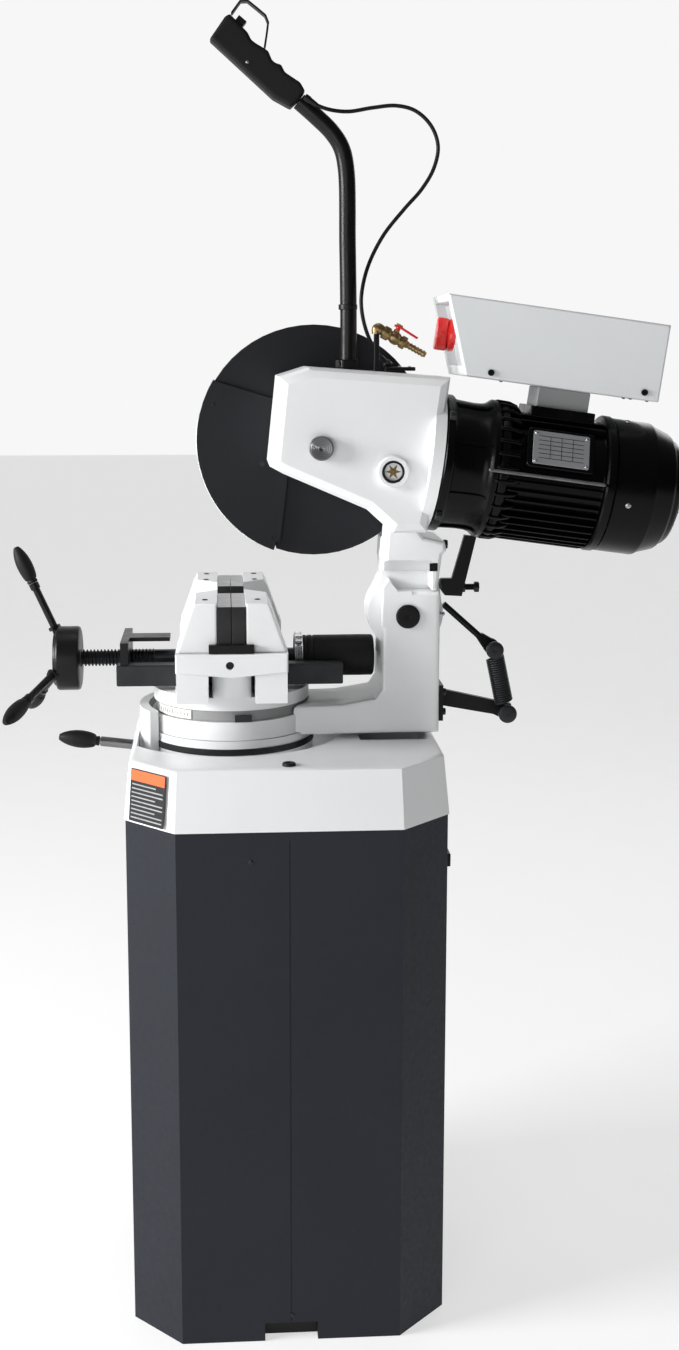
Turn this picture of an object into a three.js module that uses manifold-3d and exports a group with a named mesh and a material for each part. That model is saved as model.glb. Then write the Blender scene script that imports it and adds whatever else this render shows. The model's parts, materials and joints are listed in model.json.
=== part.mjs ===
// Manual pedestal cold saw: cabinet, swing arm, double vise, tilting head with motor.
// Millimetres, +Z up. X runs along the work stock's clamping direction, the operator
// stands at -X. The origin is on the floor, under the vertical swing axis.
import * as THREE from 'three';
import { mergeVertices } from 'three/addons/utils/BufferGeometryUtils.js';
import Module from 'manifold-3d';

const wasm = await Module();
wasm.setup();

// ---- driving dimensions ----
const GAP = 0.4;                  // clearance between neighbouring pieces
const CABINET = { cx: 79, cy: -5, halfX: 234.5, halfY: 245, chamfer: 73.5, height: 780, wall: 3 };
const DOOR = { y0: -140, y1: 160, z0: 50, z1: 750, thick: 3 };
const TRAY_TOP = 870;             // rim of the cast top tray
const POST = { r: 59, z0: 880.4, flangeR: 116, flangeZ: 908.6, top: 924.6 };
const RING = { r: 121.5, z0: 880.8, z1: 908.2 };
const ARM = { y0: -75, y1: 55, z0: 875.5 };
const PIVOT = { x: 264, z: 1056.3, shaftR: 14.6, boreR: 15 };
const FORK = { y0: -47, y1: 27, floor: 985 };
const LUG = { r: 57, y0: -46, y1: 26 };
const VISE = { halfX: 81, near: -170, far: 176, slotNear: -28, slotFar: 46, bed: 1020, discR: 119 };
const SCREW = { y: 5, z: 984, r: 13, x0: -229, x1: 212 };
const RAIL = { x0: -172, x1: 168, width: 26, z0: 952, z1: 984 };
const JAW = { top: 1093, plateTop: 1087, plateX: 20, foot: 985.6, yokeTop: 1004 };
const SPINDLE = { x: 126, z: 1316, r: 15.4 };
const BLADE = { r: 157.5, thick: 2.5 };
const GUARD = { r: 171.5, y0: -25.4, y1: 27.6, wall: 3 };
const HOOD = { r: 174.5, y0: -35.6, y1: 30.4, wall: 2.4, hubR: 60 };
// The hood's two straight edges meet here, off the spindle's axis; offsets from that axis.
const HOOD_WEDGE = [[-27, 53], [-394, 164], [-430, -60], [-360, -300], [-73, -337]];
const GEARBOX = { y0: -205, y1: -36.2 };
const MOTOR = { x: 370, y: -136, z: 1281, tilt: 7.8, frameR: 98, cowlR: 96 };
const SPRING = { y: -40, lowX: 420.6, lowZ: 900.6, highX: 399.4, highZ: 999.6, r: 14.5, wire: 3.6 };

// ---- materials ----
const paint = (color, roughness = 0.45, metalness = 0.1) =>
  new THREE.MeshStandardMaterial({ color, roughness, metalness });
const white = () => paint(0xe9eaea, 0.4, 0.05);
const cabinetBlue = () => paint(0x2d3038, 0.5, 0.2);
const black = () => paint(0x151617, 0.5, 0.1);
const rubber = () => paint(0x101010, 0.75, 0);
const steel = () => paint(0xb9bcbf, 0.3, 0.9);
const darkSteel = () => paint(0x3c3f42, 0.4, 0.85);
const brass = () => paint(0xb58a3c, 0.35, 0.9);
const red = () => paint(0xc0201c, 0.4, 0.05);
const greySheet = () => paint(0xa9acae, 0.45, 0.3);

// ---- solids ----
function signedVolume(position, index) {
  const a = new THREE.Vector3();
  const b = new THREE.Vector3();
  const c = new THREE.Vector3();
  let sum = 0;
  for (let i = 0; i < index.length; i += 3) {
    a.fromBufferAttribute(position, index[i]);
    b.fromBufferAttribute(position, index[i + 1]);
    c.fromBufferAttribute(position, index[i + 2]);
    sum += a.dot(b.cross(c));
  }
  return sum;
}

// A closed three.js geometry becomes a solid that can be joined and cut.
function solid(geometry) {
  geometry.deleteAttribute('normal');
  geometry.deleteAttribute('uv');
  const merged = mergeVertices(geometry, 1e-4);
  const index = Array.from(merged.index.array);
  const kept = [];
  for (let i = 0; i < index.length; i += 3) {
    const [a, b, c] = [index[i], index[i + 1], index[i + 2]];
    if (a !== b && b !== c && a !== c) kept.push(a, b, c);
  }
  if (signedVolume(merged.attributes.position, kept) < 0) kept.reverse();
  return new wasm.Manifold(new wasm.Mesh({
    numProp: 3,
    vertProperties: new Float32Array(merged.attributes.position.array),
    triVerts: new Uint32Array(kept),
  }));
}

const join = (...bodies) => bodies.reduce((all, body) => all.add(body));
const cut = (body, ...tools) => tools.reduce((rest, tool) => rest.subtract(tool), body);

function addMesh(parent, name, body, material) {
  const mesh = body.getMesh();
  const geometry = new THREE.BufferGeometry();
  geometry.setAttribute('position', new THREE.BufferAttribute(mesh.vertProperties, 3));
  geometry.setIndex(new THREE.BufferAttribute(mesh.triVerts, 1));
  const object = new THREE.Mesh(geometry, material);
  object.name = name;
  parent.add(object);
  return object;
}

function block(x0, x1, y0, y1, z0, z1) {
  const geometry = new THREE.BoxGeometry(x1 - x0, y1 - y0, z1 - z0);
  geometry.translate((x0 + x1) / 2, (y0 + y1) / 2, (z0 + z1) / 2);
  return solid(geometry);
}

function outline(points) {
  return new THREE.Shape(points.map(([a, b]) => new THREE.Vector2(a, b)));
}

function slab(points, depth, bevel) {
  return new THREE.ExtrudeGeometry(outline(points), {
    depth: depth - 2 * bevel,
    bevelEnabled: bevel > 0,
    bevelThickness: bevel,
    bevelSize: bevel,
    bevelOffset: -bevel,
    bevelSegments: 2,
  });
}

// Outline in X and Y, thickness along Z.
function planSlab(points, z0, z1, bevel = 0) {
  const geometry = slab(points, z1 - z0, bevel);
  geometry.translate(0, 0, z0 + bevel);
  return solid(geometry);
}

// A plan outline whose upper edge draws in by an inset over the last stretch of height.
function drawnIn(points, z1, stretch, inset) {
  const geometry = new THREE.ExtrudeGeometry(outline(points), {
    depth: 60,
    bevelThickness: stretch,
    bevelSize: inset,
    bevelOffset: -inset,
    bevelSegments: 1,
  });
  geometry.translate(0, 0, z1 - 60 - stretch);
  return solid(geometry);
}

// Outline in X and Z, thickness along Y.
function sideSlab(points, y0, y1, bevel = 0) {
  const geometry = slab(points, y1 - y0, bevel);
  geometry.translate(0, 0, bevel);
  geometry.rotateX(Math.PI / 2);
  geometry.translate(0, y1, 0);
  return solid(geometry);
}

// Straight round bar between two points, tapering when a second radius is given.
function rod(from, to, radius, sides = 32, endRadius = radius) {
  const a = new THREE.Vector3(...from);
  const b = new THREE.Vector3(...to);
  const geometry = new THREE.CylinderGeometry(endRadius, radius, a.distanceTo(b), sides);
  const turn = new THREE.Quaternion().setFromUnitVectors(
    new THREE.Vector3(0, 1, 0), b.clone().sub(a).normalize());
  geometry.applyQuaternion(turn);
  const middle = a.add(b).multiplyScalar(0.5);
  geometry.translate(middle.x, middle.y, middle.z);
  return solid(geometry);
}

// Profile of [radius, distance] pairs turned round an axis that starts at a point.
function turned(profile, start, direction, sides = 40) {
  const closed = [...profile, profile[0]].map(([r, d]) => new THREE.Vector2(r, d));
  const geometry = new THREE.LatheGeometry(closed, sides);
  const turn = new THREE.Quaternion().setFromUnitVectors(
    new THREE.Vector3(0, 1, 0), new THREE.Vector3(...direction).normalize());
  geometry.applyQuaternion(turn);
  geometry.translate(...start);
  return solid(geometry);
}

const tubeProfile = (inner, outer, d0, d1) => [[inner, d0], [outer, d0], [outer, d1], [inner, d1]];

function bentBar(points, radius, sides, steps) {
  const path = new THREE.CatmullRomCurve3(points.map((p) => new THREE.Vector3(...p)), false, 'centripetal');
  const shape = new THREE.Shape();
  for (let i = 0; i <= sides; i += 1) {
    const angle = (2 * Math.PI * i) / sides;
    const x = radius * Math.cos(angle);
    const y = radius * Math.sin(angle);
    if (i === 0) shape.moveTo(x, y);
    else shape.lineTo(x, y);
  }
  return solid(new THREE.ExtrudeGeometry(shape, { extrudePath: path, steps, bevelEnabled: false }));
}

// Flat strap of constant thickness along a polyline in X and Z.
function strap(points, thick, y0, y1) {
  const left = [];
  const right = [];
  points.forEach(([x, z], i) => {
    const [ax, az] = points[Math.max(i - 1, 0)];
    const [bx, bz] = points[Math.min(i + 1, points.length - 1)];
    const length = Math.hypot(bx - ax, bz - az);
    const nx = (-(bz - az) / length) * (thick / 2);
    const nz = ((bx - ax) / length) * (thick / 2);
    left.push([x + nx, z + nz]);
    right.unshift([x - nx, z - nz]);
  });
  return sideSlab([...left, ...right], y0, y1);
}

// The hood's wedge as a solid across the guard, shifted towards its open side.
function hoodWedge(shift) {
  const points = HOOD_WEDGE.map(([x, z]) => [SPINDLE.x + x - shift, SPINDLE.z + z - shift]);
  return sideSlab(points, -60, 60);
}

// Cabinet plan: a rectangle with four chamfered corners, drawn in by an inset.
function cabinetPlan(inset) {
  const hx = CABINET.halfX - inset;
  const hy = CABINET.halfY - inset;
  const c = CABINET.chamfer - inset * (2 - Math.SQRT2);
  const corners = [
    [-hx, -hy + c], [-hx + c, -hy], [hx - c, -hy], [hx, -hy + c],
    [hx, hy - c], [hx - c, hy], [-hx + c, hy], [-hx, hy - c],
  ];
  return corners.map(([x, y]) => [x + CABINET.cx, y + CABINET.cy]);
}

// ---- cabinet ----
function cabinetShell() {
  const { wall, height, cx, cy, halfX, halfY } = CABINET;
  const right = cx + halfX;
  const front = cy - halfY;
  const toe = { half: 39, height: 28, depth: 60 };
  const doorway = block(right - 10, right + 10, DOOR.y0 + 15, DOOR.y1 - 15, DOOR.z0 + 15, DOOR.z1 - 15);
  const outer = planSlab(cabinetPlan(0), 0, height);
  let body = cut(outer, planSlab(cabinetPlan(wall), wall, height - wall), doorway);
  const lining = block(cx - toe.half - wall, cx + toe.half + wall, front + 1,
    front + toe.depth + wall, 1, toe.height + wall);
  body = join(body, lining);
  const toeSpace = block(cx - toe.half, cx + toe.half, front - 5, front + toe.depth, -5, toe.height);
  const seam = block(cx - 1, cx + 1, front - 1, front + 1, 31, height - 14);
  return cut(body, toeSpace, seam);
}

function addCabinet(group) {
  addMesh(group, 'cabinet_shell', cabinetShell(), cabinetBlue());
  const face = CABINET.cx + CABINET.halfX + GAP;
  const panel = block(face, face + DOOR.thick, DOOR.y0, DOOR.y1, DOOR.z0, DOOR.z1);
  addMesh(group, 'cabinet_door', panel, cabinetBlue());
  const latchX = face + DOOR.thick + GAP;
  addMesh(group, 'door_latch', block(latchX, latchX + 7, DOOR.y0 + 4, DOOR.y0 + 34, 686, 706), black());
}

// ---- top tray with coolant channel, collar and lock slot ----
function topTray() {
  const draft = drawnIn(cabinetPlan(-2), TRAY_TOP + 1, TRAY_TOP + 1 - CABINET.height, 9);
  const rim = planSlab(cabinetPlan(2), 740, TRAY_TOP, 12).add(planSlab(cabinetPlan(-2), 770, 820));
  const skirt = block(-400, 600, -500, 500, 700, CABINET.height + GAP);
  const hollow = planSlab(cabinetPlan(9), 700, TRAY_TOP - 36);
  const channel = turned(tubeProfile(125, 172, TRAY_TOP - 22, TRAY_TOP + 30), [0, 0, 0], [0, 0, 1], 64)
    .intersect(block(-142, 400, -300, 300, 800, 1000));
  const pedestal = turned([[0, 840], [124, 840], [124, 880], [0, 880]], [0, 0, 0], [0, 0, 1], 64);
  const wedge = planSlab([[0, 0], [-300, 250], [-300, -170]], TRAY_TOP - 30, 915);
  const collar = turned(tubeProfile(127, 141, TRAY_TOP - 30, 915), [0, 0, 0], [0, 0, 1], 64).intersect(wedge);
  const lockSlot = block(-175, -120, -26, 26, 838, 858);
  const drain = block(192, 296, -84, 60, TRAY_TOP - 60, TRAY_TOP + 5);
  return cut(join(cut(rim.intersect(draft), skirt, hollow, channel), pedestal, collar), lockSlot, drain);
}

function addTray(group) {
  addMesh(group, 'top_tray', topTray(), white());
  const { r, z0, flangeR, flangeZ, top } = POST;
  const post = [[0, z0], [r, z0], [r, flangeZ], [flangeR, flangeZ], [flangeR, top], [0, top]];
  addMesh(group, 'swing_post', turned(post, [0, 0, 0], [0, 0, 1], 64), darkSteel());
  const wedge = planSlab([[0, 0], [-300, -120], [-300, -400], [-240, -400]], 905, 930);
  const band = turned(tubeProfile(flangeR + 0.4, flangeR + 1.8, 910, 923), [0, 0, 0], [0, 0, 1], 64);
  addMesh(group, 'swing_scale', band.intersect(wedge), paint(0xf2f2ee, 0.5, 0));
}

// ---- lever that locks the swing ----
function addLockLever(group) {
  const hub = [-134, 0];
  const lever = join(
    rod([hub[0], hub[1], 838.5], [hub[0], hub[1], 856], 9),
    rod([hub[0], hub[1], 845.5], [-203, hub[1], 854], 5.6, 20));
  addMesh(group, 'lock_lever', lever, steel());
  addMesh(group, 'lock_knob', turned([[0, 0], [9, 0], [13, 12], [14, 40], [9, 58], [0, 63]],
    [-203.6, hub[1], 854.1], [-0.9925, 0, 0.122], 28), rubber());
}

// ---- swing arm: ring, arm and forked column ----
function swingArm() {
  const side = [
    [33, ARM.z0], [313, ARM.z0 + 1.5], [313, 1094], [246, 1094], [226, 1075],
    [226, 946], [216, 931], [162, 922], [61, 920], [61, 912], [33, 912],
  ];
  const arm = sideSlab(side, ARM.y0, ARM.y1, 7);
  const underPedestal = rod([0, 0, 860], [0, 0, RING.z0], 127, 64);
  const abovePost = rod([0, 0, RING.z1], [0, 0, 940], 119, 64);
  const slot = block(200, 330, FORK.y0, FORK.y1, FORK.floor, 1110);
  const ring = rod([0, 0, RING.z0], [0, 0, RING.z1], RING.r, 64);
  const bore = rod([0, 0, 860], [0, 0, 940], POST.r + 0.7, 64);
  const cross = rod([PIVOT.x, -90, PIVOT.z], [PIVOT.x, 70, PIVOT.z], PIVOT.boreR);
  const horn = sideSlab([[226, 1040], [270, 1040], [270, 1094], [249, 1094], [236, 1112], [228, 1100]],
    ARM.y0, FORK.y0);
  return cut(join(cut(arm, underPedestal, abovePost, slot), horn, ring), bore, cross);
}

function addSwingArm(group) {
  addMesh(group, 'swing_arm', swingArm(), white());
  const pin = turned([[0, 0], [18, 0], [18, 4.4], [PIVOT.shaftR, 4.6], [PIVOT.shaftR, 137], [0, 137]],
    [PIVOT.x, -80, PIVOT.z], [0, 1, 0], 32);
  addMesh(group, 'pivot_shaft', pin, black());
  addMesh(group, 'swing_pointer', block(4, 29, -121, -119.4, RING.z1 + GAP, 919), darkSteel());
  const side = 313 + GAP;
  const plate = block(side, side + 7, -64, -4, 893, 948);
  const reach = sideSlab([[side + 5, 935], [side + 5, 909], [404, 893], [412, 889], [432, 892], [432, 909],
    [418, 912]], -24, -14);
  const pinHole = rod([SPRING.lowX, -70, SPRING.lowZ], [SPRING.lowX, 0, SPRING.lowZ], 4.3, 20);
  addMesh(group, 'spring_bracket', cut(join(plate, reach), pinHole), black());
  addMesh(group, 'spring_pin_low', turned([[0, 0], [11, 0], [11, 6], [4, 6], [4, 48], [0, 48]],
    [SPRING.lowX, -61, SPRING.lowZ], [0, 1, 0], 24), darkSteel());
}

// ---- vise ----
function viseBase() {
  const { halfX, near, far, bed, discR } = VISE;
  const disc = rod([0, 0, POST.top + GAP], [0, 0, 944.5], discR, 64);
  const front = [[-halfX, bed], [halfX, bed], [halfX, 992], [0, 984.6], [-halfX, 992]];
  const bodies = [disc, sideSlab(front, near, -101, 3), sideSlab(front, 110, far, 3)];
  for (const sign of [-1, 1]) {
    const x0 = sign < 0 ? -halfX + 1 : 34;
    const x1 = sign < 0 ? -34 : halfX - 1;
    bodies.push(block(x0, x1, near + 4, -64, 938, 1000));
    bodies.push(block(x0, x1, 76, far - 4, 938, 1000));
  }
  for (const y0 of [-62, 47]) bodies.push(block(-84, 84, y0, y0 + 25, 940, RAIL.z0 - GAP));
  const saddle = block(-halfX, halfX, -100.6, 109.6, 985, 1010);
  const overhang = cut(block(-200, 200, -200, 200, 930, 946.5), rod([0, 0, 900], [0, 0, 960], discR, 64));
  const centre = join(rod([0, -104, 940], [0, -104, 988], 29), rod([0, 112, 940], [0, 112, 988], 29));
  const hole = rod([-2.7, near - 2, 1003], [-2.7, near + 16, 1003], 6, 20);
  return cut(join(...bodies, cut(centre, saddle)), saddle, overhang, hole);
}

function jawCasting(side) {
  const { plateX, top, foot, yokeTop } = JAW;
  const inner = plateX + GAP;
  const profile = [[inner, foot], [79, foot], [79.5, 1022], [77, 1028], [58, 1082], [52, top], [inner, top]];
  const plan = [[inner, -160], [90, -160], [90, -94], [inner, VISE.slotNear]];
  const farPlan = [[inner, 168], [inner, VISE.slotFar], [90, 112], [90, 168]];
  const tall = sideSlab(profile, -160, 168, 4);
  const nearTower = tall.intersect(planSlab(plan, 900, 1200));
  const towers = join(nearTower, tall.intersect(planSlab(farPlan, 900, 1200)));
  const overBed = join(
    block(-10, 100, -180, -99, 960, VISE.bed + 1),
    block(-10, 100, 108, 190, 960, VISE.bed + 1));
  const yoke = join(block(4, 44, -98, 107, foot, yokeTop), block(4, 44, -35.5, 45.5, 955, foot + 1));
  const bore = rod([-10, SCREW.y, SCREW.z], [100, SCREW.y, SCREW.z], SCREW.r + 0.6, 32);
  const right = cut(join(cut(towers, overBed), yoke), bore);
  return side > 0 ? right : right.mirror([1, 0, 0]);
}

function addJaw(group, name, side) {
  addMesh(group, `${name}_jaw`, jawCasting(side), white());
  const x0 = side > 0 ? 0.3 : -JAW.plateX;
  const x1 = side > 0 ? JAW.plateX : -0.3;
  const bottom = VISE.bed + 1;
  addMesh(group, `${name}_plate_near`, block(x0, x1, -160, VISE.slotNear, bottom, JAW.plateTop), steel());
  addMesh(group, `${name}_plate_far`, block(x0, x1, VISE.slotFar, 168, bottom, JAW.plateTop), steel());
}

function addVise(group) {
  addMesh(group, 'vise_base', viseBase(), white());
  addMesh(group, 'bed_flange', block(-33, 32, -169, -160.6, VISE.bed + GAP, 1033), black());
  for (const [name, y0] of [['near_rail', -62.4], ['far_rail', 46.4]]) {
    const y1 = y0 + RAIL.width;
    const bar = planSlab([[RAIL.x0, y0], [RAIL.x1, y0], [RAIL.x1, y1], [RAIL.x0, y1]], RAIL.z0, RAIL.z1, 2);
    addMesh(group, name, bar, darkSteel());
  }
  const screwBore = rod([-200, SCREW.y, SCREW.z], [-100, SCREW.y, SCREW.z], SCREW.r + 0.6, 32);
  const bracket = join(
    block(-166, -154, -62, 72, RAIL.z1 + GAP, 1018),
    block(-166, -154, -35.5, 45.5, 952, RAIL.z1 + 2),
    block(-156, -93, -15, 25, 1012, 1018));
  addMesh(group, 'screw_bracket', cut(bracket, screwBore), black());
  const bootProfile = [[20, 0], [31.5, 0], [31.5, 112], [26, 120], [0, 122], [0, 114], [20, 108]];
  addMesh(group, 'screw_boot', turned(bootProfile, [97, SCREW.y, SCREW.z], [1, 0, 0], 36), rubber());
  const clamp = turned(tubeProfile(32, 37, 0, 12), [97, SCREW.y, SCREW.z], [1, 0, 0], 36);
  addMesh(group, 'boot_clamp', clamp, steel());
}

function addHandwheel(group) {
  const axis = [SCREW.x0, SCREW.y, SCREW.z];
  addMesh(group, 'lead_screw', rod(axis, [SCREW.x1 - 8, SCREW.y, SCREW.z], SCREW.r, 32), steel());
  const hubX = SCREW.x0 - GAP;
  let wheel = turned([[0, 0], [46, 0], [49, 4], [49, 34], [42, 40], [0, 40]],
    [hubX, SCREW.y, SCREW.z], [-1, 0, 0], 40);
  const lean = THREE.MathUtils.degToRad(25);
  for (let i = 0; i < 3; i += 1) {
    const angle = THREE.MathUtils.degToRad(82 + 120 * i);
    const ray = [-Math.sin(lean), Math.cos(angle) * Math.cos(lean), Math.sin(angle) * Math.cos(lean)];
    const at = (d) => [hubX - 18 + ray[0] * d, SCREW.y + ray[1] * d, SCREW.z + ray[2] * d];
    wheel = join(wheel, rod(at(20), at(127), 6, 20));
    addMesh(group, `wheel_knob_${i + 1}`, turned([[0, 0], [9, 0], [9.5, 8], [12, 46], [9, 58], [0, 61]],
      at(127.4), ray, 24), rubber());
  }
  addMesh(group, 'handwheel', wheel, black());
}

// ---- head: gearbox, neck and pivot lug ----
// Room under the neck's front ledge for the near fork wall, between two X stations.
function neckRelief(x0, x1) {
  const profile = [[-112, 1148], [LUG.y0, 1121], [LUG.y0, 1085], [-112, 1085]];
  const geometry = slab(profile, x1 - x0, 0);
  geometry.applyMatrix4(new THREE.Matrix4().makeBasis(
    new THREE.Vector3(0, 1, 0), new THREE.Vector3(0, 0, 1), new THREE.Vector3(1, 0, 0)));
  geometry.translate(x0, 0, 0);
  return solid(geometry);
}

function gearbox() {
  const tilt = THREE.MathUtils.degToRad(MOTOR.tilt);
  const along = [Math.cos(tilt), 0, -Math.sin(tilt)];
  const at = (u, w = 0) => [MOTOR.x + u * along[0] + w * Math.sin(tilt), MOTOR.y,
    MOTOR.z + u * along[2] + w * Math.cos(tilt)];
  const [topX, , topZ] = at(-80, 122);
  const [lowX, , lowZ] = at(-80, -72);
  const main = sideSlab([[55, 1290], [68, 1414], [110, 1427], [topX, topZ], [lowX, lowZ], [276, 1196],
    [228, 1195], [191, 1229], [73, 1280]], GEARBOX.y0, GEARBOX.y1, 14);
  const flange = rod(at(-94), at(-78), 97, 48).intersect(block(200, 400, -400, GEARBOX.y1, 1100, 1500));
  const neck = sideSlab([[235, 1099], [304, 1099], [311, 1152], [317, 1158], [315, 1171], [284, 1178],
    [277, 1188], [275, 1216], [236, 1216], [229, 1190], [226, 1141]], -104, LUG.y1, 5);
  const lug = join(
    rod([PIVOT.x, LUG.y0, PIVOT.z], [PIVOT.x, LUG.y1, PIVOT.z], LUG.r, 48),
    sideSlab([[209, 1056], [320, 1060], [308, 1150], [228, 1150], [227, 1112], [213.5, 1080]], LUG.y0, LUG.y1));
  const underLedge = neckRelief(220, 297);
  const inside = sideSlab([[70, 1296], [82, 1400], [112, 1412], [284, 1398], [268, 1236], [262, 1210],
    [236, 1210], [202, 1242], [84, 1290]], GEARBOX.y0 + 14, GEARBOX.y1 - 14);
  const boss = rod([226, GEARBOX.y0 - 5, 1283], [226, GEARBOX.y0 + 12, 1283], 22);
  const guardRoom = rod([SPINDLE.x, GEARBOX.y1, SPINDLE.z], [SPINDLE.x, 60, SPINDLE.z], HOOD.r + 3, 72);
  const pivotBore = rod([PIVOT.x, -120, PIVOT.z], [PIVOT.x, 60, PIVOT.z], PIVOT.boreR);
  const spindleBore = rod([SPINDLE.x, -220, SPINDLE.z], [SPINDLE.x, 0, SPINDLE.z], SPINDLE.r + 0.6);
  const shaftBore = rod(at(-160), at(0), 17);
  const casting = join(main, flange, cut(neck, underLedge), lug, boss);
  const hollow = cut(casting, inside, guardRoom, pivotBore, spindleBore, shaftBore);
  return join(hollow, guardSpigot(spindleBore));
}

// Boss behind the gearbox that the moving guard turns on and the fixed guard is held by.
function guardSpigot(bore) {
  const { x, z } = SPINDLE;
  return cut(rod([x, GEARBOX.y1 - 3, z], [x, GUARD.y0 - GAP, z], 21.4, 40), bore);
}

function guardCan({ r, y0, y1, wall }, boreR) {
  const profile = [
    [boreR, 0], [r, 0], [r, y1 - y0], [boreR, y1 - y0], [boreR, y1 - y0 - wall],
    [r - wall, y1 - y0 - wall], [r - wall, wall], [boreR, wall],
  ];
  return turned(profile, [SPINDLE.x, y0, SPINDLE.z], [0, 1, 0], 56);
}

function fixedGuard() {
  const { x, z } = SPINDLE;
  const farPlate = rod([x, GUARD.y1 - GUARD.wall, z], [x, GUARD.y1, z], 60, 56);
  return cut(join(guardCan(GUARD, 18), farPlate), hoodWedge(5));
}

function movingGuard() {
  const hub = rod([SPINDLE.x, -70, SPINDLE.z], [SPINDLE.x, 70, SPINDLE.z], HOOD.hubR, 48);
  const corner = [[-56.8, -150.7], [-66, -180], [-45, -190], [-48, -152]];
  const notch = sideSlab(corner.map(([x, z]) => [SPINDLE.x + x, SPINDLE.z + z]), -60, 60);
  return cut(guardCan(HOOD, 22).intersect(join(hoodWedge(0), hub)), notch);
}

function addHead(group) {
  addMesh(group, 'gearbox', gearbox(), white());
  addMesh(group, 'oil_sight', rod([226, GEARBOX.y0 - 10, 1283], [226, GEARBOX.y0 - 5.4, 1283], 15), brass());
  addMesh(group, 'fixed_guard', fixedGuard(), paint(0x3a3c3f, 0.5, 0.3));
  addMesh(group, 'moving_guard', movingGuard(), paint(0x3a3c3f, 0.5, 0.3));
  const cap = turned([[0, 0], [15, 0], [17, 2], [17, 11.6], [SPINDLE.r, 12], [SPINDLE.r, 216.2], [0, 216.2]],
    [SPINDLE.x, GEARBOX.y0 - 12.6, SPINDLE.z], [0, 1, 0], 32);
  addMesh(group, 'spindle', cap, steel());
  const half = BLADE.thick / 2;
  addMesh(group, 'blade', turned([[0, -half], [BLADE.r, -half], [BLADE.r, half], [0, half]],
    [SPINDLE.x, 0, SPINDLE.z], [0, 1, 0], 56), steel());
  addMesh(group, 'blade_flange', turned([[0, 0], [36, 0], [33, 7], [18, 8], [16, 18], [0, 18]],
    [SPINDLE.x, half + 0.2, SPINDLE.z], [0, 1, 0], 36), darkSteel());
  const stop = join(
    sideSlab([[313.8, 1096], [319.5, 1087.5], [345, 1086], [350, 1108], [366, 1176], [348, 1178], [330, 1113],
      [314, 1113]], -74, -64),
    sideSlab([[313.8, 1096], [319.5, 1087.5], [345, 1087.5], [345, 1110], [313.8, 1110]], -74, -50));
  const stopBore = rod([300, -60, 1098], [360, -60, 1098], 5.4, 20);
  addMesh(group, 'stop_arm', cut(stop, stopBore), darkSteel());
  const boltProfile = [[0, 0], [5, 0], [5, 48], [9, 48], [9, 56], [0, 56]];
  const stopBolt = turned(boltProfile, [316.8, -60, 1098], [1, 0, 0], 20);
  addMesh(group, 'stop_bolt', stopBolt, steel());
  addSpringRod(group);
}

function addSpringRod(group) {
  const y = -19;
  const start = [325, y, 1065.7];
  const bar = rod(start, [386, y, 1011], 5, 24);
  const eye = join(rod([SPRING.highX, -24, SPRING.highZ], [SPRING.highX, -14, SPRING.highZ], 12, 32),
    sideSlab([[377, 1012], [386, 1020], [405, 1009], [391, 991]], -24, -14));
  const pinHole = rod([SPRING.highX, -70, SPRING.highZ], [SPRING.highX, 0, SPRING.highZ], 4.3, 20);
  addMesh(group, 'spring_rod', cut(join(bar, eye), pinHole), darkSteel());
  addMesh(group, 'spring_pin_high', turned([[0, 0], [10.5, 0], [10.5, 6], [4, 6], [4, 48], [0, 48]],
    [SPRING.highX, -61, SPRING.highZ], [0, 1, 0], 24), darkSteel());
}

// ---- return spring: a coil tube with an eye at each end, and a draw bar inside it ----
function addSpring(group) {
  const low = new THREE.Vector3(SPRING.lowX, SPRING.y, SPRING.lowZ);
  const high = new THREE.Vector3(SPRING.highX, SPRING.y, SPRING.highZ);
  const ray = high.clone().sub(low).normalize();
  const at = (d, aside = 0) => [low.x + ray.x * d + ray.z * aside, low.y, low.z + ray.z * d - ray.x * aside];
  const eye = (centre) => turned(tubeProfile(5, 10, -2, 2), centre, [0, 1, 0], 24);
  const coil = turned([[0, 9], [SPRING.r, 9], [SPRING.r, 88], [SPRING.r - SPRING.wire, 88],
    [SPRING.r - SPRING.wire, 14], [0, 14]], low.toArray(), ray.toArray(), 32);
  const pinHole = ({ x, y, z }) => rod([x, y - 30, z], [x, y + 30, z], 5, 24);
  const bridge = join(rod(at(86, -12.7), at(86, 12.7), 1.8, 16), rod(at(86), at(94), 2.5, 16));
  const spring = join(coil, bridge, eye(low.toArray()), eye(high.toArray()));
  addMesh(group, 'spring_coil', cut(spring, pinHole(low), pinHole(high)), darkSteel());
  addMesh(group, 'spring_drawbar', join(rod(at(18), at(80), 3, 16), rod(at(74), at(80), 7, 24)), darkSteel());
}

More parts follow.
